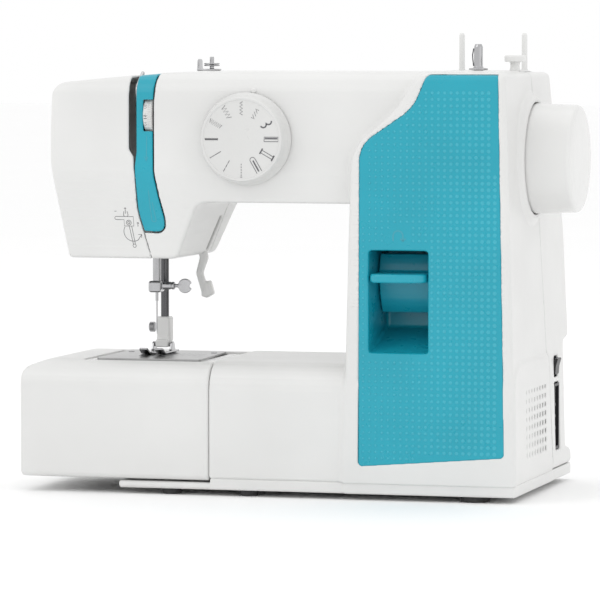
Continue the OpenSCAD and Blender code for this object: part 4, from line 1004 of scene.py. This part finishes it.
dress(tension_wheel(), "tension_wheel", "dial_white", "tension_wheel")
DIGITS = {1: [[(0.5, 1), (0.5, 0)], [(0.2, 0.8), (0.5, 1)]],
          2: [[(0, 0.9), (0.5, 1), (1, 0.75), (0, 0), (1, 0)]],
          3: [[(0, 1), (1, 1), (0.4, 0.6), (1, 0.3), (0.5, 0), (0, 0.1)]],
          4: [[(0.8, 0), (0.8, 1), (0, 0.3), (1, 0.3)]],
          5: [[(1, 1), (0.1, 1), (0.1, 0.6), (0.7, 0.6), (1, 0.3), (0.6, 0), (0, 0.05)]],
          6: [[(0.8, 1), (0.1, 0.5), (0.1, 0.1), (0.6, 0), (1, 0.3), (0.6, 0.5), (0.1, 0.4)]],
          7: [[(0, 1), (1, 1), (0.4, 0)]], 8: [[(0.5, 0.5), (0, 0.8), (0.5, 1), (1, 0.8), (0, 0.2), (0.5, 0),
                                                (1, 0.2), (0.5, 0.5)]],
          9: [[(1, 0.5), (0.3, 0.5), (0, 0.8), (0.5, 1), (1, 0.8), (0.8, 0)]]}


def on_rim(u, v):
    t = math.pi + v / tension_r
    return (x_tension + u, y_tension + (tension_r - 0.16) * math.cos(t),
            z_tension - (tension_r - 0.16) * math.sin(t))


NUMBER_PITCH = 6.2
numbers, ticks = [], []
for k in range(1, 10):
    v = (k - 4) * NUMBER_PITCH
    numbers += [[(-wheel_half * 0.75 + 1.7 * a, v - 1.2 + 2.4 * b) for a, b in line] for line in DIGITS[k]]
    ticks += [[(0.1, v), (0.9, v)]] + [[(a, v + NUMBER_PITCH * s / 4) for a in (0.4, 0.9)] for s in (1, 2, 3)]
stroke_mesh("tension_numbers", numbers, 0.3, on_rim, "grey_ink", "tension_wheel")
stroke_mesh("tension_ticks", ticks, 0.22, on_rim, "pale_ink", "tension_wheel")
stroke_mesh("tension_mark", [[(-2.4, -1.2), (-0.2, -1.2)]], 2.4, on_rim, "grey_ink", "tension_wheel")

# %% Feet, spool pins and stopper
for k, (x, y, r) in enumerate([(x_needle + 24, y_front + 14, 6.5), (x_needle + 79, y_front + 14, 6.5),
                               (x_right - 31, y_front + 16, 10), (x_needle + 24, y_arm_back - 16, 6.5),
                               (x_right - 31, y_back - 20, 10)]):
    foot = turned(f"foot_{k + 1}", [[0, 0, 0], [r - 2.5, 0, 0], [r - 2, 0.5, 0.2], [r - 1.5, 0, 0.3],
                                    [r - 0.3, 0, 0.5],
                                   [r, 4, 0.4], [r - 0.6, 4.6, 0], [0, 4.6, 0]], (x, y, 0), "z", 48)
    dress(foot, "machine", "rubber", *(["rubber_feet"] if k == 0 else []))
y_spool = middle("spool_pin_left", 1)
for side in ("left", "right"):
    node = f"spool_pin_{side}"
    x, top, bottom = middle(node, 0), high(node, 2), low(node, 2)
    dress(turned(f"spool_pin_{side}_moulding",
                 [[0, bottom, 0], [2.25, bottom, 0.4], [2.3, z_top - 6, 0], [3.5, z_top - 6, 0.3],
                  [3.5, z_top - 4.4, 0.3],
                  [2.3, z_top - 4.4, 0], [2.3, z_top + 1, 0.5], [2.0, z_top + 1.6, 0.4],
                  [1.9, top - 1.6, 0.6],
                  [1.3, top, 0.8], [0, top, 0]], (x, y_spool, 0), "z", 40), node, "white_gloss", node)
x_stop = middle("winder_stopper", 0)
dress(turned("winder_stop", [[0, z_top - 4, 0], [3.0, z_top - 4, 0.3], [3.0, z_top - 0.1, 0],
                             [3.9, z_top + 0.2, 0.5],
                             [2.9, z_top + 3.5, 8], [3.5, z_top + 6.3, 0.8], [7.2, z_top + 6.6, 0.7],
                             [7.3, z_top + 10, 1.2], [6.6, z_top + 11, 0.8], [0, z_top + 11, 0]],
             (x_stop, y_shaft, 0), "z", 48), "machine", "white_gloss", "winder_stopper")

# %% [markdown]
# ## The slide-off accessory box
# The left half of the bed is a hollow box that slides off the free arm. Its front has the same round
# shoulder as the bed, its left end falls in two soft bends, and a channel lets the arm through.

# %% The accessory box
def storage_box():
    c = Clay((x_left, y_bed, z_base - 2.4), (x_part, y_arm_back, z_bed), 1.4,
             x=[(x_part - 5, x_part + 1, 0.7)])
    under = z_base - 2.4
    outline = c.front([[x_left, under, 3.5], [x_part - SEAM, under, 0.5], [x_part - SEAM, z_bed + 0.1, 0.5],
                       [x_left + 19, z_bed + 0.1, 16], [x_left, z_bed - 7, 9]])
    side = c.side([[y_bed, under, 5], [y_arm_back, under, 5], [y_arm_back, z_bed, 8], [y_bed, z_bed, 19]])
    outer = both(outline, side, 2.0)
    arm = c.box((low("free_arm_cover", 0) - 0.6, low("free_arm_cover", 1) - 0.6, z_base - 30),
                (x_part + 9, high("free_arm_cover", 1) + 0.6, z_bed + 9), 0.5)
    made = cut(cut(outer, cut(outer + WALL, arm - WALL), 0.5), arm, 0.5)
    door = c.box((x_left + 14, y_arm_back - WALL - 1, under + 8), (x_part - 12, y_arm_back + 9, under + 66),
                 0.5)
    return cast("storage_box", c, cut(made, door, 0.3))


dress(storage_box(), "accessory_box", "white_moulding", "accessory_box")

# %% [markdown]
# The base is a shallow tray under the bed and the column, with softly rounded lower edges and a
# narrower tongue that runs on under the accessory box.

# %% The base tray
def tray():
    c = Clay((x_needle - 11, y_front, 3), (x_right, y_back, z_base), 1.5, z=[(1, 14, 0.7)])
    bed = c.box((x_part + 0.4, y_bed + 0.2, 4.2), (x_right - 0.5, y_arm_back - 0.5, z_base + 9), 1.6)
    column = c.box((x_column + 0.4, y_front + 0.8, 4.2), (x_right - 0.5, y_back - 0.8, z_base + 9), 1.6)
    tongue = c.box((x_needle - 11, y_front + 3, 4.2), (x_part + 3, y_arm_back - 3, z_base - 3), 1.4)
    plinth = both(either(bed, column, 0.6), c.z - z_base, 0.4)
    hollow = both(plinth + 3, 6 - c.z)
    return cast("tray", c, cut(either(plinth, tongue, 0.4), hollow))


dress(tray(), "machine", "white_moulding", "base_tray")

# %% [markdown]
# ## Fittings round the needle
# The presser lifter is a bent plastic lever with a finger pad. The needle clamp is a small plated
# block with a barrel and a notched thumb disc. The foot is pressed from steel: two upturned toes, a
# needle hole, and two ears that carry the pin its holder snaps on to.

# %% The presser lifter
def lifter():
    x, y, z = low("foot_lifter", 0) + 5.5, low("foot_lifter", 1), high("foot_lifter", 2) - 5.5
    c = Clay((x - 6, y, z - 49), (x + 15, y + 6, z + 6), 0.55)
    arm = c.front([[x - 4, z + 1, 0], [x + 4, z + 1, 0], [x + 10.5, z - 20, 6], [x + 6.5, z - 31, 6],
                   [x + 11.5, z - 46, 1.5],
                   [x + 6.5, z - 47.5, 1.5], [x + 1.5, z - 31, 6], [x + 4.5, z - 20, 6]])
    pad = c.front([[x + 8.8, z - 37, 1], [x + 5.5, z - 47, 0.5], [x + 9.5, z - 48.4, 1.5],
                   [x + 14.4, z - 45.5, 1.5],
                   [x + 11.8, z - 36, 1]][::-1])
    made = either(both(arm, c.slab(1, y, y + 4), 1.2), c.drum(1, (x, z), 5.5, y, y + 4, 0.8), 2.0)
    made = either(made, both(pad, c.slab(1, y, y + 6), 1.5), 1.5)
    return cast("lifter", c, cut(made, c.rod(1, (x, z), 2.3)))


dress(lifter(), "foot_lifter", "white_gloss", "foot_lifter")

# %% The needle clamp and its thumb screw
z_clamp = low("needle_clamp", 2)
z_screw = z_clamp + 4.6


def clamp():
    x = x_needle
    c = Clay((x - 5, y_needle - 7, z_clamp), (x + 13, y_needle + 5, z_clamp + 8), 0.4)
    block = c.box((x - 4.5, y_needle - 6.5, z_clamp), (x + 4.5, y_needle + 4.5, z_clamp + 8), 1.8)
    barrel = c.drum(0, (y_needle, z_screw), 2.7, x + 2, x + 13, 0.7)
    groove = c.drum(0, (y_needle, z_screw), 3.2, x + 10.2, x + 11, 0.1)
    made = cut(either(block, barrel, 1.0), cut(groove, c.rod(0, (y_needle, z_screw), 2.3)), 0.2)
    made = cut(made, both(c.rod(2, (x, y_needle), 2.81), z_clamp + 1 - c.z), 0.1)
    made = cut(made, c.rod(2, (x, y_needle), 1.05))
    return cast("clamp", c, cut(made, both(c.rod(0, (y_needle, z_screw), 1.3), x + 2.8 - c.x)))


def clamp_screw():
    x, z = x_needle + 20.4, z_screw
    c = Clay((x_needle + 3, y_needle - 2, z - 5), (x + 5, y_needle + 2, z + 5), 0.35)
    disc = c.drum(1, (x, z), 5, y_needle - 1.2, y_needle + 1.2, 0.7)
    neck = c.drum(0, (y_needle, z), 1.2, x_needle + 3.1, x - 3, 0.2)
    return cast("thumb_screw", c, cut(either(disc, neck, 0.8), c.rod(1, (x + 4.8, z), 1.7), 0.5))


dress(clamp(), "needle_bar", "chrome", "needle_clamp")
dress(clamp_screw(), "needle_clamp_screw", "chrome", "needle_clamp_screw")

# %% The presser foot
def foot():
    z0, x, heel = low("presser_foot", 2), x_needle, high("presser_foot", 1)
    pin = high("presser_foot", 2) - 2
    c = Clay((x - 9, y_needle - 15, z0), (x + 9, heel, pin + 2), 0.4)
    sole = c.side([[y_needle - 14.9, z0 + 3.5, 0.5], [y_needle - 7.9, z0, 5], [heel, z0, 0.3],
                   [heel, z0 + 1.4, 0.5],
                   [y_needle - 7.9, z0 + 1.4, 5], [y_needle - 14, z0 + 4.6, 0.5]])
    edge = c.plan(oblong(x - 9, y_needle - 15, x + 9, heel, 3))
    made = both(sole, edge, 0.3)
    made = cut(made, c.box((x - 2.4, y_needle - 25, z0 - 3), (x + 2.4, y_needle - 5, z0 + 9), 0.8), 0.3)
    made = cut(made, c.plan(oblong(x - 4, y_needle - 2.2, x + 4, y_needle + 2.2, 2)), 0.2)
    for side in (x - 7.4, x + 5.8):
        ear = c.side([[y_bar - 9, z0 + 1, 0], [y_bar + 1, z0 + 1, 0], [y_bar - 1.5, pin + 2, 2],
                      [y_bar - 6.5, pin + 2, 2]])
        made = either(made, both(ear, c.slab(0, side, side + 1.6), 0.3), 0.6)
    return cast("foot", c, either(made, c.drum(0, (y_bar - 4, pin), 1.15, x - 7.3, x + 7.3), 0.2))


dress(foot(), "presser_foot", "chrome", "presser_foot")

# %% [markdown]
# The holder is a pale die casting, clamped on the dark presser bar with a knurled screw. At its foot
# a groove takes the pin.

# %% The foot holder and its screw
z_holder = low("presser_bar", 2) - 1
z_pin = high("presser_foot", 2) - 2


def holder():
    x = x_needle
    c = Clay((x - 5, y_bar - 9, z_pin - 2), (x + 5, y_bar + 5, z_holder + 17), 0.45)
    made = c.box((x - 4.8, y_bar - 4.8, z_holder), (x + 4.8, y_bar + 4.8, z_holder + 17), 1.5)
    made = either(made, c.box((x - 4.5, y_bar - 8.5, z_pin - 1.8), (x + 4.5, y_bar + 3, z_holder + 1), 0.8),
                  1.5)
    made = cut(made, both(c.rod(2, (x, y_bar), 2.81), z_holder + 1 - c.z), 0.2)
    slit = c.box((x - 9, y_bar - 5.2, z_pin - 6), (x + 9, y_bar - 2.8, z_pin))
    made = cut(made, either(c.rod(0, (y_bar - 4, z_pin), 1.25), slit), 0.2)
    return cast("holder", c, cut(made, both(c.rod(0, (y_bar, z_holder + 9.5), 1.3), c.x - x)))


dress(holder(), "presser_bar", "white_gloss", "foot_holder")
dress(knurled("holder_screw", (x_needle, y_bar, z_holder + 9.5), "-x", 3.5, 7, 11, 28, 0.35),
      "foot_holder_screw",
      "steel", "foot_holder_screw")

# %% [markdown]
# ## The top of the machine
# The take-up lever is stamped from steel strip, so its long edges are only slightly broken. Its tip
# curls back into the hook that the thread is led through.

# %% The take-up lever
def take_up():
    x0, x1 = low("take_up_lever", 0) + 0.4, high("take_up_lever", 0) - 0.4
    y, z = y_front + 38, z_shaft + 1
    c = Clay((x0 - 0.5, y - 22, z - 6), (x1 + 0.5, y + 6, z_top + 0.5), 0.5)
    path = c.side([[y + 3.6, z + 2.6, 0], [y - 11, z_top - 23, 7], [y - 16, z_top - 13, 6],
                   [y - 3, z_top - 1.5, 0.9],
                   [y - 5.5, z_top, 0.9], [y - 22, z_top - 11, 6], [y - 19, z_top - 25, 7],
                   [y - 4.4, z + 1.6, 0]])
    made = both(path, c.slab(0, x0, x1), 0.4)
    made = cut(made, c.rod(0, (y - 17.8, z_top - 12.5), 1.1), 0.2)
    made = either(made, c.drum(0, (y, z), 5.5, x0 - 0.4, x1 + 0.4, 0.4), 0.3)
    return cast("take_up", c, cut(made, c.rod(0, (y, z), 2.05)))


dress(take_up(), "take_up_lever", "chrome", "take_up_lever")

# %% [markdown]
# The bobbin winder's spindle stands on a washer and holds the bobbin with a wire spring let into its
# side. The thread guide near it is a bent sheet bracket with two small tension discs on a post.

# %% The winder spindle and the thread guide
x_winder = middle("winder_carriage", 0)
spindle_top = high("winder_spindle", 2)
dress(turned("spindle", [[0, z_top - 14, 0], [3, z_top - 14, 0.3], [3, z_top - 13, 0], [7.5, z_top - 13, 0.5],
                         [7.5, z_top - 8.6, 0.5], [3, z_top - 8.6, 0], [3, z_top + 0.9, 0],
                         [6.5, z_top + 0.9, 0.3],
                         [6.5, z_top + 2.0, 0.4], [3.6, z_top + 2.4, 0.3], [3, z_top + 3.4, 0.3],
                         [3, spindle_top - 2, 0.6],
                         [2.2, spindle_top, 0.6], [0, spindle_top, 0]], (x_winder, y_shaft, 0), "z", 48),
      "winder_spindle", "chrome", "winder_spindle")
stroke_mesh("spindle_spring", [[(-3.15, z_top + 3.5), (-3.7, z_top + 8), (-3.9, z_top + 11),
                                (-3.1, z_top + 15.5)]], 0.8,
            lambda u, v: (x_winder + u, y_shaft - 0.9, v), "dark_bar", "winder_spindle")


def guide():
    x0, y0, y1 = low("winder_thread_guide", 0), low("winder_thread_guide", 1), high("winder_thread_guide", 1)
    x1 = high("winder_thread_guide", 0)
    c = Clay((x0, y0, z_top), (x1, y1, z_top + 10), 0.4)
    plate = both(c.plan([[x0, y0, 1], [x1, y0, 3], [x1, y1, 3], [x0, y1, 1]]), c.slab(2, z_top, z_top + 1.2),
                 0.4)
    blade = both(c.side([[y0, z_top, 0], [y1, z_top, 0], [y1 - 1, z_top + 8, 2], [y0 + 1, z_top + 8, 2]]),
                 c.slab(0, x0, x0 + 1.2), 0.4)
    post = (x0 + 9.2, (y0 + y1) / 2)
    stack = c.drum(2, post, 1.5, z_top + 1, z_top + 9.6, 0.3)
    for z in (z_top + 3.2, z_top + 4.4):
        stack = either(stack, both(c.rod(2, post, min(5.5, (y1 - y0) / 2)), c.slab(2, z, z + 0.8), 0.3))
    return cast("guide", c, either(either(plate, blade, 0.8), stack, 0.3))


dress(guide(), "machine", "chrome", "winder_thread_guide")

# %% [markdown]
# The reverse lever is a finger bar on a curved skirt, which closes the pocket behind it as it swings.

# %% The reverse lever
def reverse():
    x0, x1 = low("reverse_lever", 0), high("reverse_lever", 0)
    y, z = y_front + 63, z_pocket + 51
    c = Clay((x0, y_front - 6, z - 32), (x1, y + 6, z + 14), 0.9, z=[(z - 4, z + 4, 0.5)],
             y=[(y_front - 7, y_front + 3, 0.6)])
    ring = both(both(c.rod(0, (y, z), 38), -c.rod(0, (y, z), 36)), c.slab(0, x0, x1), 0.6)
    wedge = c.side([[y - 50, z - 44, 0], [y, z, 0], [y - 50, z + 22, 0]])
    made = both(ring, wedge, 0.6)
    bar = c.plan([[x0, y - 37, 0], [x0, y_front - 4.5, 7], [(x0 + x1) / 2, y_front - 5.5, 0],
                  [x1, y_front - 2, 9],
                  [x1, y - 37, 0]][::-1])
    made = either(made, both(bar, c.slab(2, z - 3, z + 3), 1.8), 2.0)
    x_mid = (x0 + x1) / 2
    made = either(made, c.box((x_mid - 2, y - 37, z - 4), (x_mid + 2, y, z + 4)), 0.5)
    made = either(made, c.drum(0, (y, z), 5.5, x_mid - 5, x_mid + 5, 0.3), 0.5)
    return cast("reverse", c, cut(made, c.drum(0, (y, z), 2, x_mid - 6, x_mid + 6)))


dress(reverse(), "reverse_lever", "turquoise", "reverse_lever")

# %% [markdown]
# Fine lines are laid on the needle plate on the right of the needle, as guides for the seam's width.

# %% The lines on the needle plate
plate_lines = [[(x_needle + k, y_needle - 8), (x_needle + k, y_needle + 14)] for k in (12, 16, 20, 24, 28,
                                                                                       32)]
stroke_mesh("plate_lines", plate_lines, 0.35, lambda u, v: (u, v, z_bed + 0.02), "grey_ink", "machine",
            "chrome")

# %% [markdown]
# ## Finishes for the parts that keep their own shape
# Everything that isn't made again keeps its mesh and gets one of the finishes above, chosen by the
# material that the record names for it. Three nodes get a finish of their own.

# %% Dress the remaining parts
BY_SLOT = {"white_casing": "white_gloss", "turquoise_plastic": "turquoise", "dark_plastic": "black_plastic",
           "rubber": "belt", "polished_steel": "steel", "chrome": "chrome", "cast": "castings",
           "bronze": "bronze",
           "ivory_plastic": "ivory", "blue_plastic": "clear_blue", "bulb_glass": "bulb_glass"}
SPECIAL = {"presser_bar": "dark_bar", "needle_plate": "plate_steel", "foot_holder": "white_gloss"}
dressed = 0
for part in frame["record"]["subparts"]:
    node, slot_name = part["node"], part["material_slot"]
    made = frame["nodes"][node]
    for held in made.material_slots:
        held.material = finishes[SPECIAL.get(node, BY_SLOT[slot_name])]
        dressed += 1
print("material slots dressed:", dressed)

# %% [markdown]
# ## Floor and light
# The floor is plain and pale. A broad lamp high in front gives the soft main light, a weaker one
# opposite and one overhead open the shadows, and an even white world does the rest.

# %% Floor, lamps and world
floor = mesh_object("floor", [(-9000, -6000, 0), (9000, -6000, 0), (9000, 16000, 0), (-9000, 16000, 0)],
                    [[0, 1, 2, 3]])
paint = Finish("floor_paint", Roughness=0.9, Specular_IOR_Level=0.2)
paint.set(Base_Color=paint.mix(paint.noise(400, 2), (0.975, 0.975, 0.975), (0.99, 0.99, 0.99)))
floor.data.materials.append(paint.material)
world = bpy.data.worlds.new("studio")
world.use_nodes = True
sky = world.node_tree.nodes["Background"].inputs
sky["Color"].default_value, sky["Strength"].default_value = (1, 1, 1, 1), 1.0
bpy.context.scene.world = world
for name, place, size, power in (("main_lamp", (-1.3, -1.7, 1.9), 1.4, 6.5),
                                 ("side_lamp", (1.9, -0.9, 0.9), 1.4, 1.5),
                                 ("top_lamp", (0.0, 0.4, 2.2), 1.8, 5)):
    data = bpy.data.lights.new(name, "AREA")
    data.size, data.energy = size, power
    lamp = placed(name, data)
    lamp.location = place
    lamp.rotation_mode = "QUATERNION"
    lamp.rotation_quaternion = (Vector((0, 0, 0.15)) - Vector(place)).to_track_quat("-Z", "Y")
bpy.context.scene.view_settings.view_transform = "Standard"
